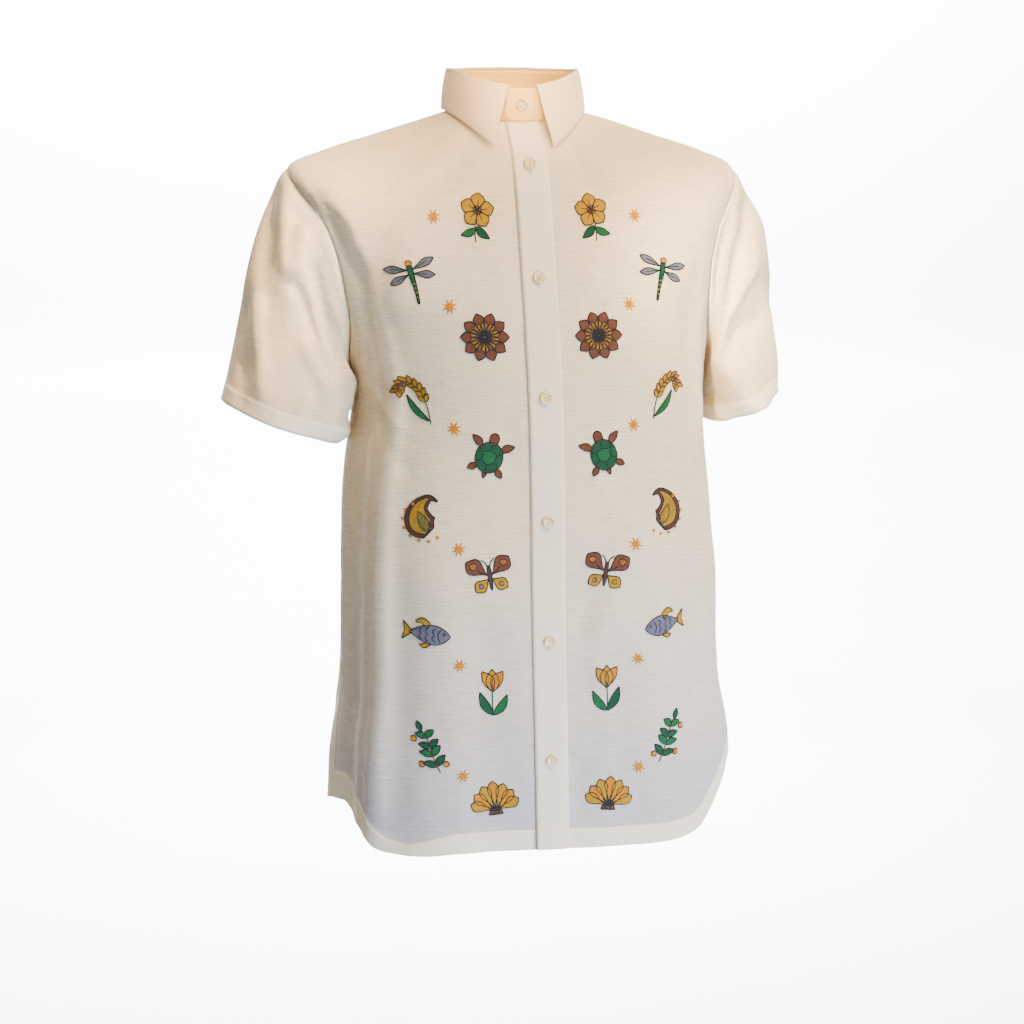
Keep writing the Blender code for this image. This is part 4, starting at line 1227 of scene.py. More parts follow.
def add_node(tree, kind, inputs=(), **settings):
    """Add a node to a tree, with values or links for its inputs."""
    made = tree.nodes.new("ShaderNode" + kind)
    for name, value in settings.items():
        setattr(made, name, value)
    for name, value in dict(inputs).items():
        if isinstance(value, bpy.types.NodeSocket):
            tree.links.new(value, made.inputs[name])
        else:
            made.inputs[name].default_value = value
    return made


def new_material(name, **inputs):
    """A material with a Principled shader. Returns it, its tree and its shader."""
    material = bpy.data.materials.new(name)
    material.use_nodes = True
    shader = material.node_tree.nodes["Principled BSDF"]
    for key, value in inputs.items():
        shader.inputs[key.replace("_", " ")].default_value = value
    return material, material.node_tree, shader


def noise(tree, place, scale, detail=2, roughness=0.55):
    """Noise over a place stretched by a scale across and down (features per metre)."""
    spread = add_node(tree, "Mapping", {"Vector": place, "Scale": (*scale, 1)[:3]})
    texture = add_node(tree, "TexNoise", {"Vector": spread.outputs[0], "Scale": 1.0, "Detail": detail,
                                          "Roughness": roughness})
    return texture.outputs["Fac"]


def clouds(tree, scale, detail=2):
    """Noise through the whole object (features per metre)."""
    return noise(tree, add_node(tree, "TexCoord").outputs["Object"], (scale, scale, scale), detail)


def math_node(tree, operation, *values):
    """The result of a sum on values or sockets."""
    return add_node(tree, "Math", dict(enumerate(values)), operation=operation).outputs[0]


def blend(tree, share, first, second, mode="MIX"):
    """Mix two colours by a share."""
    made = add_node(tree, "Mix", {0: share, 6: first, 7: second}, data_type="RGBA", blend_type=mode)
    return made.outputs[2]


def rescale(tree, value, low, high, to_low=0.0, to_high=1.0):
    """A value moved from one range to another."""
    names = ("Value", "From Min", "From Max", "To Min", "To Max")
    inputs = dict(zip(names, (value, low, high, to_low, to_high)))
    return add_node(tree, "MapRange", inputs).outputs[0]


THREAD_COLOUR = linear(0.93, 0.89, 0.80)
SINGLE_LAYER = linear(0.91, 0.815, 0.635)
SLUB_DARK = linear(0.825, 0.715, 0.53)
DOUBLE_LAYER = linear(0.95, 0.87, 0.705)
LEAF_CLOTH = linear(0.92, 0.79, 0.60)
# The stand's ivory, raised into a painted warm glow of light passing through its cloth.
STAND_PAINTED_GLOW = linear(1.0, 0.76, 0.31)
CLOUD_TINT = linear(0.86, 0.81, 0.72)
# Painted cool shade, as of the shirt's dim inside seen through one layer of cloth, deepening towards the hem.
SHOW_THROUGH_SHADE = linear(0.79, 0.83, 1.0)
SHOW_THROUGH_SHADE_HEIGHTS = (-0.36, -0.66) # metres between which it sets in
SOLID = 0.85                 # how far doubled cloth hides what is behind it
YARN = 0.62 * MM             # from one thread of the weave to the next
# Long and short slubs to the metre, across and down, and the strength of the relief.
BODY_WEAVE = ((48, 760), (120, 1700), 0.5)
COLLAR_WEAVE = ((40, 1100), (150, 2200), 0.3)
RELIEF = 0.4 * MM
# Shares of the noise between which each look sets in, and how strongly.
SLUB_LINES = (0.34, 0.6)
SPECKS = (0.56, 0.7, 0.0, 0.5)
CLOUDS = (0.3, 0.7, 0.0, 0.1)
SLUB_ROUGHNESS = (0.3, 0.7, 0.84, 0.7)
SHORT_SLUBS = 0.35           # height of the short slubs and of the threads, next to the long slubs
WEAVE_THREADS = 0.06


def weave_heights(tree, place, slub_scale, fine_scale):
    """Long slubs, short slubs and the threads of a plain weave."""
    slubs = noise(tree, place, slub_scale, detail=3, roughness=0.65)
    short = noise(tree, place, fine_scale, detail=2)
    parts = add_node(tree, "SeparateXYZ", {0: place})
    weft, warp = (
        math_node(tree, "SINE", math_node(tree, "MULTIPLY", parts.outputs[axis], 2 * math.pi / YARN))
        for axis in (1, 0))
    threads = math_node(tree, "MULTIPLY", math_node(tree, "ADD", weft, warp), WEAVE_THREADS)
    height = math_node(tree, "MULTIPLY_ADD", short, SHORT_SLUBS, math_node(tree, "ADD", slubs, threads))
    return slubs, short, height


def cloth_material(name, doubled_colour_and_glow, weave):
    """Slubbed semi-sheer cloth, paler where doubled, and with painted cool shade towards the hem where
    single.
    """
    material, tree, shader = new_material(
        name, Roughness=0.78, Sheen_Weight=0.22, Sheen_Roughness=0.45, Specular_IOR_Level=0.28)
    slub_scale, fine_scale, bump = weave
    place = add_node(tree, "UVMap", uv_map="weave").outputs[0]
    slubs, short, height = weave_heights(tree, place, slub_scale, fine_scale)
    lines = rescale(tree, slubs, *SLUB_LINES)
    colour = blend(tree, lines, SLUB_DARK, SINGLE_LAYER)
    specks = rescale(tree, short, *SPECKS)
    colour = blend(tree, specks, colour, doubled_colour_and_glow)
    layers = add_node(tree, "Attribute", attribute_name="layers").outputs["Fac"]
    solid = math_node(tree, "MULTIPLY", layers, SOLID)
    colour = blend(tree, solid, colour, doubled_colour_and_glow)
    # Painted shade: single cloth is tinted cooler and darker towards the hem.
    where = add_node(tree, "TexCoord").outputs["Object"]
    down = rescale(tree, add_node(tree, "SeparateXYZ", {0: where}).outputs[2], *SHOW_THROUGH_SHADE_HEIGHTS)
    sheer = math_node(tree, "SUBTRACT", 1.0, solid)
    thin = math_node(tree, "MULTIPLY", down, sheer)
    colour = blend(tree, thin, colour, SHOW_THROUGH_SHADE, "MULTIPLY")
    cloud = clouds(tree, 9, detail=1)
    colour = blend(tree, rescale(tree, cloud, *CLOUDS), colour, CLOUD_TINT)
    tree.links.new(colour, shader.inputs["Base Color"])
    tree.links.new(rescale(tree, slubs, *SLUB_ROUGHNESS), shader.inputs["Roughness"])
    relief = add_node(tree, "Bump", {"Strength": bump, "Distance": RELIEF, "Height": height})
    tree.links.new(relief.outputs[0], shader.inputs["Normal"])
    return material


PEARL_CLOUDS = (0.35, 0.65)
PEARL_ROUGHNESS = (0.3, 0.7, 0.28, 0.14)
PEARL = (linear(0.74, 0.60, 0.35), linear(0.93, 0.82, 0.57))


def pearl_material():
    """Pearly cream button with faint clouds."""
    material, tree, shader = new_material(
        "pearl", Roughness=0.3, Coat_Weight=0.3, Coat_Roughness=0.1, Specular_IOR_Level=0.4)
    cloud = clouds(tree, 420, detail=3)
    colour = blend(tree, rescale(tree, cloud, *PEARL_CLOUDS), *PEARL)
    tree.links.new(colour, shader.inputs["Base Color"])
    tree.links.new(rescale(tree, cloud, *PEARL_ROUGHNESS), shader.inputs["Roughness"])
    return material


TWIST_SHADE = (0.25, 0.22, 0.2, 1)
TWISTS = (0.3, 0.7, 0.0, 0.3)
TWIST_RELIEF = 0.2 * MM


def thread_material(name):
    """Thread with fine twist, in the colours of the threads laid."""
    material, tree, shader = new_material(name, Roughness=0.7, Sheen_Weight=0.02, Sheen_Roughness=0.35,
                                          Specular_IOR_Level=0.2)
    twist = clouds(tree, 2600)
    own = add_node(tree, "Attribute", attribute_name="thread").outputs["Color"]
    shade = rescale(tree, twist, *TWISTS)
    colour = blend(tree, shade, own, TWIST_SHADE, "MULTIPLY")
    tree.links.new(colour, shader.inputs["Base Color"])
    relief = add_node(tree, "Bump", {"Strength": 0.5, "Distance": TWIST_RELIEF, "Height": twist})
    tree.links.new(relief.outputs[0], shader.inputs["Normal"])
    return material


# ---- pieces of cloth ----


def make_front(side, material):
    """A front panel. The right one passes under the left at the middle."""
    angles, rings, layers = front_grid(side)
    if side > 0:
        name, panel = "front_left", body_panel(angles, rings, layers, ("top", "last"))
    else:
        past = np.clip(-np.sin(np.radians(angles)) * BODY_REACH - PLACKET_WIDTH / 2, 0, None)
        layers[:, :LAP_COLUMNS + 1] = 0
        lift = UNDER_LAP * (1 - smooth(past / LAP_EASE))
        name, panel = "front_right", body_panel(angles, rings, layers, ("top", "last"), lift).reversed()
    add_shell("cloth_" + name, name, panel, CLOTH, material)
    return panel


def make_placket(material):
    """The strip sewn on the left front's edge."""
    columns = np.s_[:, :LAP_COLUMNS + 1]
    angles, rings, layers = (grid[columns] for grid in front_grid(1))
    panel = body_panel(angles, rings, layers, ("top",), PLACKET_RISE)
    panel.points[:, [0, -1]] -= panel.normals[:, [0, -1]] * PLACKET_EDGE
    panel.layers = np.maximum(panel.layers, PLACKET_LAYER)
    add_shell("cloth_placket", "placket", panel, PLACKET_THICK, material)
    return panel


def make_back(material):
    """The plain back."""
    panel = body_panel(*back_grid(), ("top", "first", "last"), grain=120)
    add_shell("cloth_back", "back", panel, CLOTH, material)
    return panel


def make_yoke(material):
    """The yoke over both shoulders."""
    angles, rings = yoke_grid()
    layers = np.zeros(angles.shape)
    panel = body_panel(angles, rings, layers, ("top", "low", "first", "last"), grain=100)
    add_shell("cloth_yoke", "yoke", panel, CLOTH, material)
    return panel


def tube_normals(points):
    """Outward directions of a tube's grid (rows down, columns around, last on first)."""
    around = np.empty_like(points)
    around[:, 1:-1] = points[:, 2:] - points[:, :-2]
    around[:, 0] = around[:, -1] = points[:, 1] - points[:, -2]
    normals = unit(np.cross(np.gradient(points, axis=0), around))
    outward = points - points.mean(axis=1, keepdims=True)
    return normals * np.sign(np.sum(normals * outward, -1).mean())


def armhole_loop(side):
    """Points, body normals and places around (degrees) of an armhole, closed on itself."""
    front, back = fine(ARMHOLE_FRONT), fine(ARMHOLE_BACK)
    loop = np.concatenate((front, back[-2::-1]))
    angles, rings = side * loop[:, 1], loop[:, 0]
    points = body(angles, rings)
    travelled = distances(points)
    half = travelled[len(front) - 1]
    behind = 1 + (travelled - half) / (travelled[-1] - half)
    place = 180 * np.where(travelled <= half, travelled / half, behind)
    return points, normal_of(body, angles, rings), place


def cuff_ring(cuff, side, place):
    """Points of a sleeve's hem, and its downward direction."""
    tilt, turn = math.radians(cuff["tilt"]), math.radians(cuff["turn"])
    level = np.array((side * math.cos(tilt), 0, math.sin(tilt)))
    ahead = np.array((0, -1, 0))
    down = np.array((side * math.sin(tilt), 0, -math.cos(tilt)))
    out = level * math.cos(turn) - ahead * math.sin(turn)
    forward = ahead * math.cos(turn) + level * math.sin(turn)
    around = np.radians(place)[:, None]
    middle = np.array((cuff["x"], cuff["y"], cuff["z"])) * MM
    ring = out * np.cos(around) * cuff["out"] + forward * np.sin(around) * cuff["forward"]
    return middle + ring * MM, down


def crease_lift(creases, place, share):
    """How far the finer creases, which may run across, lift a sleeve's cloth."""
    total = np.zeros(np.broadcast(place, share).shape)
    for place_top, share_top, place_low, share_low, width, height in creases:
        run = np.array((place_low - place_top, share_low - share_top)) * SLEEVE_SPREAD
        length = math.hypot(*run)
        across = shortest(place - place_top) * SLEEVE_SPREAD[0]
        down = (share - share_top) * SLEEVE_SPREAD[1]
        gone = (across * run[0] + down * run[1]) / length ** 2
        away = (across * run[1] - down * run[0]) / length
        total += height * np.exp(-(away / width) ** 2) * fade_ends(gone)
    return total * MM


def sleeve_shares(length):
    """Shares down a sleeve at each place around it, and the number of rows above its hem."""
    hem_share = SLEEVE_HEM / length
    rows = np.concatenate((SLEEVE_START, np.linspace(SLEEVE_FIRST_ROW, 1, SLEEVE_ROWS)))
    upper = rows[:, None] * (1 - hem_share)
    band = np.linspace(0, 1, BAND_ROWS)[1:, None] * (1 - upper[-1:]) + upper[-1:]
    return np.concatenate((upper, upper[-1:] + SLEEVE_STEP / length, band)), len(upper)


def sleeve_lift(name, side, place, shares):
    """How far folds, creases, the cap's ease and ripples lift a sleeve's cloth."""
    height = fold_lift(SLEEVE_FOLDS[name], place[None], shares) * smooth(shares / SLEEVE_FADE)
    height += crease_lift(SLEEVE_CREASES[name], place[None], shares) * smooth(shares / CREASE_FADE)
    cap = (1 + np.cos(np.radians(place))) / 2
    height += CAP_PUFF * cap * np.exp(-((shares - CAP_PUFF_AT) / CAP_PUFF_REACH) ** 2)
    around = np.sin(np.radians(place)) * SLEEVE_REACH + side
    return height + ripple(around, shares * SLEEVE_LENGTH) * smooth(shares / RIPPLE_FADE)


def make_sleeve(name, side, material):
    """A sleeve from its armhole to its hem."""
    cuff = dict(zip(CUFF_COLUMNS, CUFFS[name]))
    start, start_normals, place = armhole_loop(side)
    end, down = cuff_ring(cuff, side, place)
    length = np.linalg.norm(end - start, axis=1)
    shares, hem_row = sleeve_shares(length)
    lean = (1 + np.cos(np.radians(place)))[:, None] / 2 * CAP_LEAN
    leave = unit(down + np.array((side, 0, 0)) * lean) * length[:, None] * SLEEVE_PULL
    arrive = down * length[:, None] * SLEEVE_PULL
    points = bridge(start, end, leave, arrive, shares[..., None])
    weave = (place[None] / 360 * SLEEVE_GIRTH, edge_runs(points)["low"])
    points = points + tube_normals(points) * sleeve_lift(name, side, place, shares)[..., None]
    normals = tube_normals(points)
    leaving = unit(points[2] - points[0])
    open_side = smooth(np.sum(leaving * start_normals, -1, keepdims=True) / OPEN_VALLEY)
    for row, follow in enumerate(SEAM_FOLLOW):
        held = start_normals * (1 - open_side) + normals[row] * open_side
        normals[row] = unit(held * follow + normals[row] * (1 - follow))
    layers = np.zeros(shares.shape)
    layers[hem_row:] = 1
    away = edge_runs(points)["top"]
    points = points + normals * (layers * HEM_RISE - groove(away))[..., None]
    weave = np.stack(np.broadcast_arrays(*weave), -1)
    panel = Panel(points, normals, weave, np.maximum(layers, allowance(away)))
    if side > 0:
        panel = panel.reversed()
    add_shell("cloth_sleeve_" + name, "sleeve_" + name, panel, CLOTH, material, tube=True)
    return panel


def stand_top(angle):
    """Outer edge of the top of the collar stand."""
    cos, sin = np.cos(np.radians(angle)), np.sin(np.radians(angle))
    front, side, back = STAND_TOP_Z
    z = side + (np.where(cos > 0, front, back) - side) * cos ** 2
    y = -np.where(cos > 0, STAND_TOP_FRONT, STAND_TOP_BACK) * cos
    return np.stack((STAND_TOP_SIDE * sin, y, z), -1) * MM


def radial(angle):
    """Level direction away from the neck."""
    return np.stack((np.sin(np.radians(angle)), -np.cos(np.radians(angle)), np.zeros_like(angle)), -1)


def collar_piece(node, points, normals, material):
    """A piece of the collar, doubled throughout. Returns its panel."""
    runs = edge_runs(points)
    weave = np.stack((runs["first"], runs["low"]), -1)
    panel = Panel(points, normals, weave, np.ones(points.shape[:2]))
    add_shell(node + "_cloth", node, panel, COLLAR, material)
    return panel


def make_stand(material):
    """The collar stand, whose left end laps over its right end at the front."""
    lap = float(angle_at(np.array(PLACKET_WIDTH / 2), np.array(0.0)))
    angles = np.linspace(-lap, 360 + lap, STAND_COLUMNS)
    low = form(angles, np.zeros_like(angles)) + np.array((0, 0, COLLAR_CLEAR))
    top = stand_top(angles)
    corner = np.clip(1 - distances(low) / STAND_CORNER_RUN, 0, 1)
    low[:, 2] += STAND_CORNER * (1 - np.sqrt(1 - corner ** 2))
    shares = np.linspace(0, 1, STAND_ROWS)[:, None, None]
    bow = np.sin(np.pi * shares) * STAND_BOW
    under = smooth((angles - LAP_START) / LAP_RUN)[:, None] * STAND_LAP
    points = top * (1 - shares) + low * shares + radial(angles) * (under + bow)
    return collar_piece("collar_stand", points, np.broadcast_to(radial(angles), points.shape), material)


def leaf_edge():
    """Places of the leaf's fold (degrees) and rows of its lower edge, from the left end around."""
    start = math.degrees(math.asin(LEAF_START / (STAND_TOP_SIDE * MM)))
    share = np.linspace(0, 1, LEAF_COLUMNS)
    half = start + (180 - start) * share
    edge = along(LEAF_EDGE, share ** LEAF_SPREAD * (len(LEAF_EDGE) - 1))
    ease = (1 - share) ** POINT_EASE
    left, right = edge.copy(), edge.copy()
    left[:, 0] += (POINT_ANGLES["left"] - LEAF_EDGE[0, 0]) * ease
    right[:, 0] += (POINT_ANGLES["right"] - LEAF_EDGE[0, 0]) * ease
    around = np.concatenate((left, right[-2::-1] * (-1, 1, 1) + (360, 0, 0)))
    return all_round(half), around


def make_leaf(material):
    """The pointed leaf, rolled over the top of the stand and down onto the body."""
    fold, edge = leaf_edge()
    base, away, up = stand_top(fold), radial(fold), np.array((0, 0, 1))
    outer = [base - away * COLLAR + up * COLLAR_CLEAR]
    outward = [-away]
    for turn in np.linspace(math.pi, 0, ROLL_STEPS + 1):
        direction = away * math.cos(turn) + up * math.sin(turn)
        outer.append(base + away * ROLL_MIDDLE + up * ROLL_RISE + direction * COLLAR)
        outward.append(direction)
    rest, normal = form(edge[:, 0], edge[:, 1]), normal_of(form, edge[:, 0], edge[:, 1])
    rim = rest + normal * (edge[:, 2:] * MM + COLLAR)
    hang = outer[-1]
    drop = unit(rim - hang)
    around = np.gradient((rim + hang) / 2, axis=0)
    facing = unit(np.cross(drop, around))
    for share in np.linspace(0, 1, LEAF_ROWS + 1)[1:]:
        bulge = LEAF_BULGE * 4 * share * (1 - share)
        outer.append(hang * (1 - share) + rim * share + facing * bulge)
        turned = min(1, share * LEAF_TURN)
        outward.append(unit(away * (1 - turned) + facing * turned))
    return collar_piece("collar_leaf", np.stack(outer), np.stack(outward), material)


# ---- buttons and stitches ----

# Half of a button's section: radius and height (mm), from its back to the middle of its dish.
BUTTON_PROFILE = (
    (3.9, 0), (5.0, 0.16), (5.5, 0.5), (5.7, 1.0), (5.66, 1.45), (5.4, 1.92), (5.05, 2.16), (4.7, 2.2),
    (4.35, 2.1), (4.0, 1.86), (3.65, 1.64), (3.2, 1.5), (2.5, 1.43),
)
BUTTON_SIDES = 64
HOLE_PLACE = 1.12            # of each hole, across and up from the middle (mm)
HOLE_RADIUS = 0.62
HOLE_SIDES = 20
DRILL_ENDS = (-1, 3)         # heights between which a hole is cut
BUTTON_DISH = 1.4            # height of the middle of its dish
SHARP_EDGE = 50              # degrees past which an edge of a button stays sharp
# A thread through two holes: across and height (mm).
BUTTON_THREAD = (
    (-1.3, 0.2), (-1.22, 1.35), (-0.78, 1.88), (0, 2.0), (0.78, 1.88), (1.22, 1.35), (1.3, 0.2),
)
BUTTON_THREAD_WIDTH = 0.34
BUTTON_THREADS = (-0.26, 0, 0.26)    # side by side through each pair of holes
BUTTON_THREAD_CORE = 0.4     # height that they bend around


def lathe(profile, sides, low, high):
    """Points and faces of a turned shape, closed at both ends."""
    turns = np.arange(sides) * 2 * np.pi / sides
    points = [(r * math.cos(t), r * math.sin(t), h) for r, h in profile for t in turns]
    side = np.arange(sides)
    after = (side + 1) % sides
    faces = [(r * sides + a, r * sides + b, (r + 1) * sides + b, (r + 1) * sides + a)
             for r in range(len(profile) - 1) for a, b in zip(side, after)]
    first, last = len(points), len(points) + 1
    top = (len(profile) - 1) * sides
    points += [(0, 0, low), (0, 0, high)]
    faces += [(first, b, a) for a, b in zip(side, after)]
    faces += [(last, top + a, top + b) for a, b in zip(side, after)]
    return points, [[int(corner) for corner in face] for face in faces]


def loose_object(points, faces):
    """An object that belongs to no piece yet."""
    mesh = bpy.data.meshes.new("loose")
    mesh.from_pydata(points, [], faces)
    return add_object("loose", mesh)


def drilled_button():
    """Mesh of a dished button with four holes, in mm, facing +Z."""
    button = loose_object(*lathe(BUTTON_PROFILE, BUTTON_SIDES, 0, BUTTON_DISH))
    points, faces = [], []
    for across in (-1, 1):
        for up in (-1, 1):
            bore = [(HOLE_RADIUS, height) for height in DRILL_ENDS]
            drill, walls = lathe(bore, HOLE_SIDES, *DRILL_ENDS)
            faces += [[corner + len(points) for corner in face] for face in walls]
            points += [(x + across * HOLE_PLACE, y + up * HOLE_PLACE, z) for x, y, z in drill]
    drills = loose_object(points, faces)
    cut = button.modifiers.new("holes", "BOOLEAN")
    cut.operation, cut.solver, cut.object = "DIFFERENCE", "EXACT", drills
    whole = bpy.data.meshes.new_from_object(button.evaluated_get(bpy.context.evaluated_depsgraph_get()))
    for made in (button, drills):
        bpy.data.objects.remove(made)
    return whole


def button_seats():
    """Name, seat and facing of each button."""
    middle = np.zeros(1)
    seat = form(middle, middle)[0] * 0.5 + stand_top(middle)[0] * 0.5
    seat[2] = STAND_BUTTON_Z
    yield "collar", seat + (0, -STAND_BOW - BUTTON_GAP, 0), np.array((0, -1, 0))
    for number, z in enumerate(BUTTON_HEIGHTS, 1):
        points, normals = on_front(middle, middle + z * MM, PLACKET_RISE + BUTTON_GAP)
        yield str(number), points[0], normals[0]


def make_buttons(material, threads):
    """Pearl buttons with their threads."""
    whole = drilled_button()
    for name, seat, facing in button_seats():
        across = unit(np.cross((0, 0, 1), facing))
        up = np.cross(facing, across)
        turn = np.stack((across, up, facing))
        mesh = whole.copy()
        points = np.empty(len(mesh.vertices) * 3)
        mesh.vertices.foreach_get("co", points)
        placed = points.reshape(-1, 3) * MM @ turn + seat
        faces = [tuple(face.vertices) for face in mesh.polygons]
        bpy.data.meshes.remove(mesh)
        piece = add_piece("pearl_button_" + name, placed, faces, material, ["button_" + name])
        piece.data.set_sharp_from_angle(angle=math.radians(SHARP_EDGE))
        paths = np.array([[(x, row + beside, h) for x, h in BUTTON_THREAD]
                          for row in (-HOLE_PLACE, HOLE_PLACE) for beside in BUTTON_THREADS])
        outward = unit(paths * (1, 0, 1) - (0, 0, BUTTON_THREAD_CORE))
        threads.lay(paths * MM @ turn + seat, outward @ turn, BUTTON_THREAD_WIDTH * MM,
                    BUTTON_THREAD_WIDTH * MM, THREAD_COLOUR)


def on_stand(across, up):
    """Points and normals on the front of the stand, beside its button."""
    angle = np.degrees(np.arcsin(across / (STAND_TOP_SIDE * MM)))
    top, low = stand_top(angle), form(angle, np.zeros_like(angle))
    share = ((top[..., 2] - STAND_BUTTON_Z - up) / (top[..., 2] - low[..., 2]))[..., None]
    normals = radial(angle)
    return top * (1 - share) + low * share + normals * (STAND_BOW * np.sin(np.pi * share)), normals


def vent_columns(panel):
    """Columns just inside the bands beside the vents."""
    above_hem = panel.doubled()[-BAND_ROWS - 3].astype(int)
    steps = np.nonzero(np.diff(above_hem))[0]
    return [step + 1.5 if above_hem[step + 1] else step - 0.5 for step in steps]


def make_stitches(panels, material):
    """Rows of stitches along the seams, hems and edges, and the buttonholes."""
    threads = Threads()
    for edge in ("first", "last"):
        sew(threads, *line_beside(panels["placket"], edge, EDGE_STITCH))
    for name in ("front_right", "front_left", "back", "placket", "sleeve_right", "sleeve_left"):
        sew(threads, *band_path(panels[name]))
    for name in ("front_right", "front_left", "back"):
        panel = panels[name]
        for column in vent_columns(panel):
            rows = np.nonzero(panel.doubled()[:, int(column)])[0]
            sew(threads, *panel.at(rows, np.full(len(rows), column)))
    sew(threads, *line_beside(panels["yoke"], "low", EDGE_STITCH))
    for edge, (low, high) in LEAF_STITCHES:
        sew(threads, *cut_path(line_beside(panels["leaf"], edge, COLLAR_STITCH), low, high))
    sew(threads, *line_beside(panels["stand"], "low", EDGE_STITCH))
    for z in BUTTON_HEIGHTS:
        sew_buttonhole(threads, lambda up, across: on_front(across, up + z * MM, PLACKET_RISE))
    sew_buttonhole(threads, lambda up, across: on_stand(-up, across))
    threads.make("stitches", material)


# ---- camera, lights and floor ----

CAMERA_TARGET = Vector((0, 0, -0.391))
CAMERA_DISTANCE = 1.789
CAMERA_AZIMUTH = -8.5
CAMERA_ELEVATION = 12
CAMERA_LENS = 63.56
FLOOR_Z = -1.45              # the neck seam is carried this high
BOWL_PROFILE = ((0, 0), (2.6, 0), (3.1, 0.05), (3.55, 0.25), (3.85, 0.6), (4.0, 1.1), (4.0, 3.2))
BOWL_SIDES = 96
BOWL_ROWS = 48


def towards(azimuth, elevation):
    """Direction from the shirt at an azimuth and elevation (0 is the front)."""
    turn, rise = math.radians(azimuth), math.radians(elevation)
    return Vector((math.sin(turn) * math.cos(rise), -math.cos(turn) * math.cos(rise), math.sin(rise)))


def aim(thing, place, target):
    """Put a camera or light at a place, looking at a target."""
    thing.location = place
    thing.rotation_euler = (Vector(target) - Vector(place)).to_track_quat("-Z", "Y").to_euler()


def make_camera():
    """The camera at the photograph's viewing angle."""
    data = bpy.data.cameras.new("camera")
    data.lens = CAMERA_LENS
    camera = add_object("camera", data)
    aim(camera, CAMERA_TARGET + towards(CAMERA_AZIMUTH, CAMERA_ELEVATION) * CAMERA_DISTANCE, CAMERA_TARGET)
    bpy.context.scene.camera = camera


LIGHT_COLUMNS = ("name", "place", "target", "size", "power", "colour", "spread")
LIGHTS = (
    ("key", (1.4, -1.2, 0.95), (0.05, 0, -0.25), 0.45, 71, (1.0, 0.75, 0.47), 180),
    ("top", (0.1, -0.85, 1.6), (0.0, 0, -0.1), 0.4, 47, (1.0, 0.76, 0.50), 180),
    ("low", (0.9, -1.9, -1.15), (0.05, 0, -0.76), 0.6, 18, (0.42, 0.62, 1.0), 64),
    ("sleeve_right", (0.75, -1.4, 1.35), (-0.29, 0, -0.18), 0.08, 0.5, (1.0, 0.78, 0.52), 8),
    ("sleeve_left", (-0.8, -1.7, 0.8), (0.3, 0, -0.22), 0.08, 0.85, (1.0, 0.80, 0.55), 8),
    ("collar", (-0.25, -1.9, 0.6), (0.01, 0, 0.0), 0.05, 0.11, (1.0, 0.72, 0.38), 5),
    ("fill", (-1.9, -1.2, 0.1), (0, 0, -0.38), 1.4, 2, (0.95, 0.92, 1.0), 180),
    ("back", (1.6, 1.45, 0.75), (0, 0, -0.38), 0.6, 42, (1.0, 0.90, 0.78), 180),
    ("wall", (0.2, 2.2, 1.6), (0, 4.0, -0.9), 2.2, 1800, (0.97, 0.98, 1.0), 180),
    ("front_wall", (0, -2.2, 1.6), (0, -4.0, -0.9), 2.2, 520, (0.97, 0.98, 1.0), 120),
)
WORLD_COLOUR = (0.86, 0.90, 1.0, 1)
WORLD_STRENGTH = 0.44


def make_lights():
    """Plain soft studio light: one main side, a weak fill, and light on the wall behind."""
    for row in LIGHTS:
        light = dict(zip(LIGHT_COLUMNS, row))
        data = bpy.data.lights.new(light["name"], "AREA")
        data.size, data.energy, data.color = light["size"], light["power"], light["colour"]
        data.spread = math.radians(light["spread"])
        lamp = add_object(light["name"], data)
        aim(lamp, light["place"], light["target"])
        lamp.visible_camera = False
    world = bpy.data.worlds.new("studio")
    world.use_nodes = True
    background = world.node_tree.nodes["Background"]
    background.inputs["Color"].default_value = WORLD_COLOUR
    background.inputs["Strength"].default_value = WORLD_STRENGTH
    bpy.context.scene.world = world


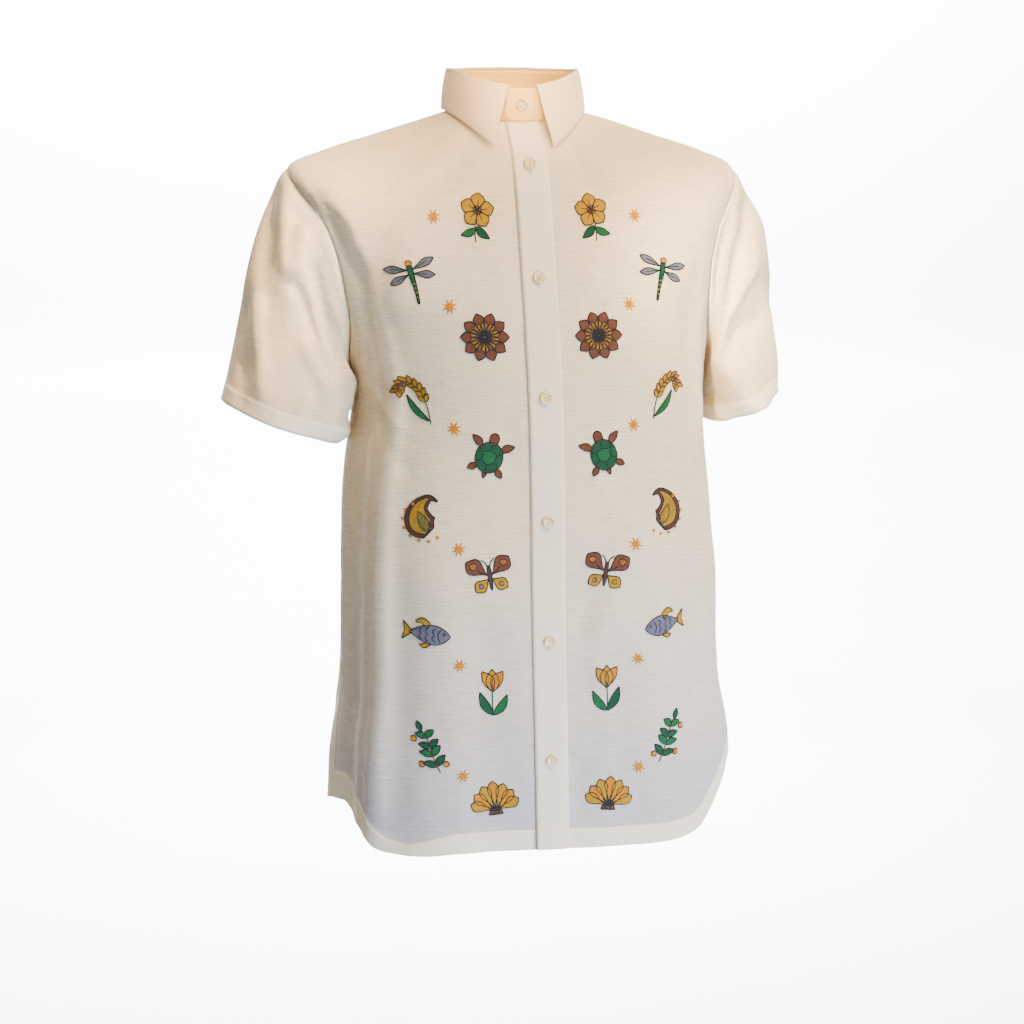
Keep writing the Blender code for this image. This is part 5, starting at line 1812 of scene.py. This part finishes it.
def make_floor():
    """A plain pale floor that curves up into a round wall."""
    turns = np.arange(BOWL_SIDES) * 2 * np.pi / BOWL_SIDES
    places = np.linspace(0, len(BOWL_PROFILE) - 1, BOWL_ROWS + 1)[1:]
    profile = along(np.array(BOWL_PROFILE, float), places)
    points = [(0, 0, FLOOR_Z)]
    points += [(radius * math.cos(t), radius * math.sin(t), FLOOR_Z + z)
               for radius, z in profile for t in turns]
    faces = [(0, 1 + side, 1 + (side + 1) % BOWL_SIDES) for side in range(BOWL_SIDES)]
    for row in range(BOWL_ROWS - 1):
        for side in range(BOWL_SIDES):
            low, low_next = (1 + row * BOWL_SIDES + s for s in (side, (side + 1) % BOWL_SIDES))
            faces.append((low, low + BOWL_SIDES, low_next + BOWL_SIDES, low_next))
    mesh = bpy.data.meshes.new("floor")
    mesh.from_pydata(points, [], faces)
    mesh.shade_smooth()
    material, tree, shader = new_material("floor", Roughness=0.9, Specular_IOR_Level=0.2)
    colour = blend(tree, clouds(tree, 3), (0.86, 0.86, 0.86, 1), (0.9, 0.9, 0.9, 1))
    tree.links.new(colour, shader.inputs["Base Color"])
    mesh.materials.append(material)
    floor = add_object("floor", mesh)
    floor.visible_diffuse = False


# ---- the scene ----


def main():
    """Build the stage and every piece."""
    make_camera()
    make_lights()
    make_floor()
    cloth = cloth_material("cloth", DOUBLE_LAYER, BODY_WEAVE)
    crisp = cloth_material("collar_cloth", LEAF_CLOTH, COLLAR_WEAVE)
    # The stand's colour is a painted warm glow of light through it.
    glowing_stand = cloth_material("stand_painted_glow", STAND_PAINTED_GLOW, COLLAR_WEAVE)
    panels = {
        "front_right": make_front(-1, cloth),
        "front_left": make_front(1, cloth),
        "placket": make_placket(cloth),
        "back": make_back(cloth),
        "yoke": make_yoke(cloth),
        "sleeve_right": make_sleeve("right", -1, cloth),
        "sleeve_left": make_sleeve("left", 1, cloth),
        "stand": make_stand(glowing_stand),
        "leaf": make_leaf(crisp),
    }
    thread = thread_material("thread")
    make_stitches(panels, thread)
    button_threads = Threads()
    make_buttons(pearl_material(), button_threads)
    button_threads.make("button_threads", thread)
    embroidery = thread_material("embroidery_thread")
    make_embroidery(-1, embroidery)
    make_embroidery(1, embroidery)


main()
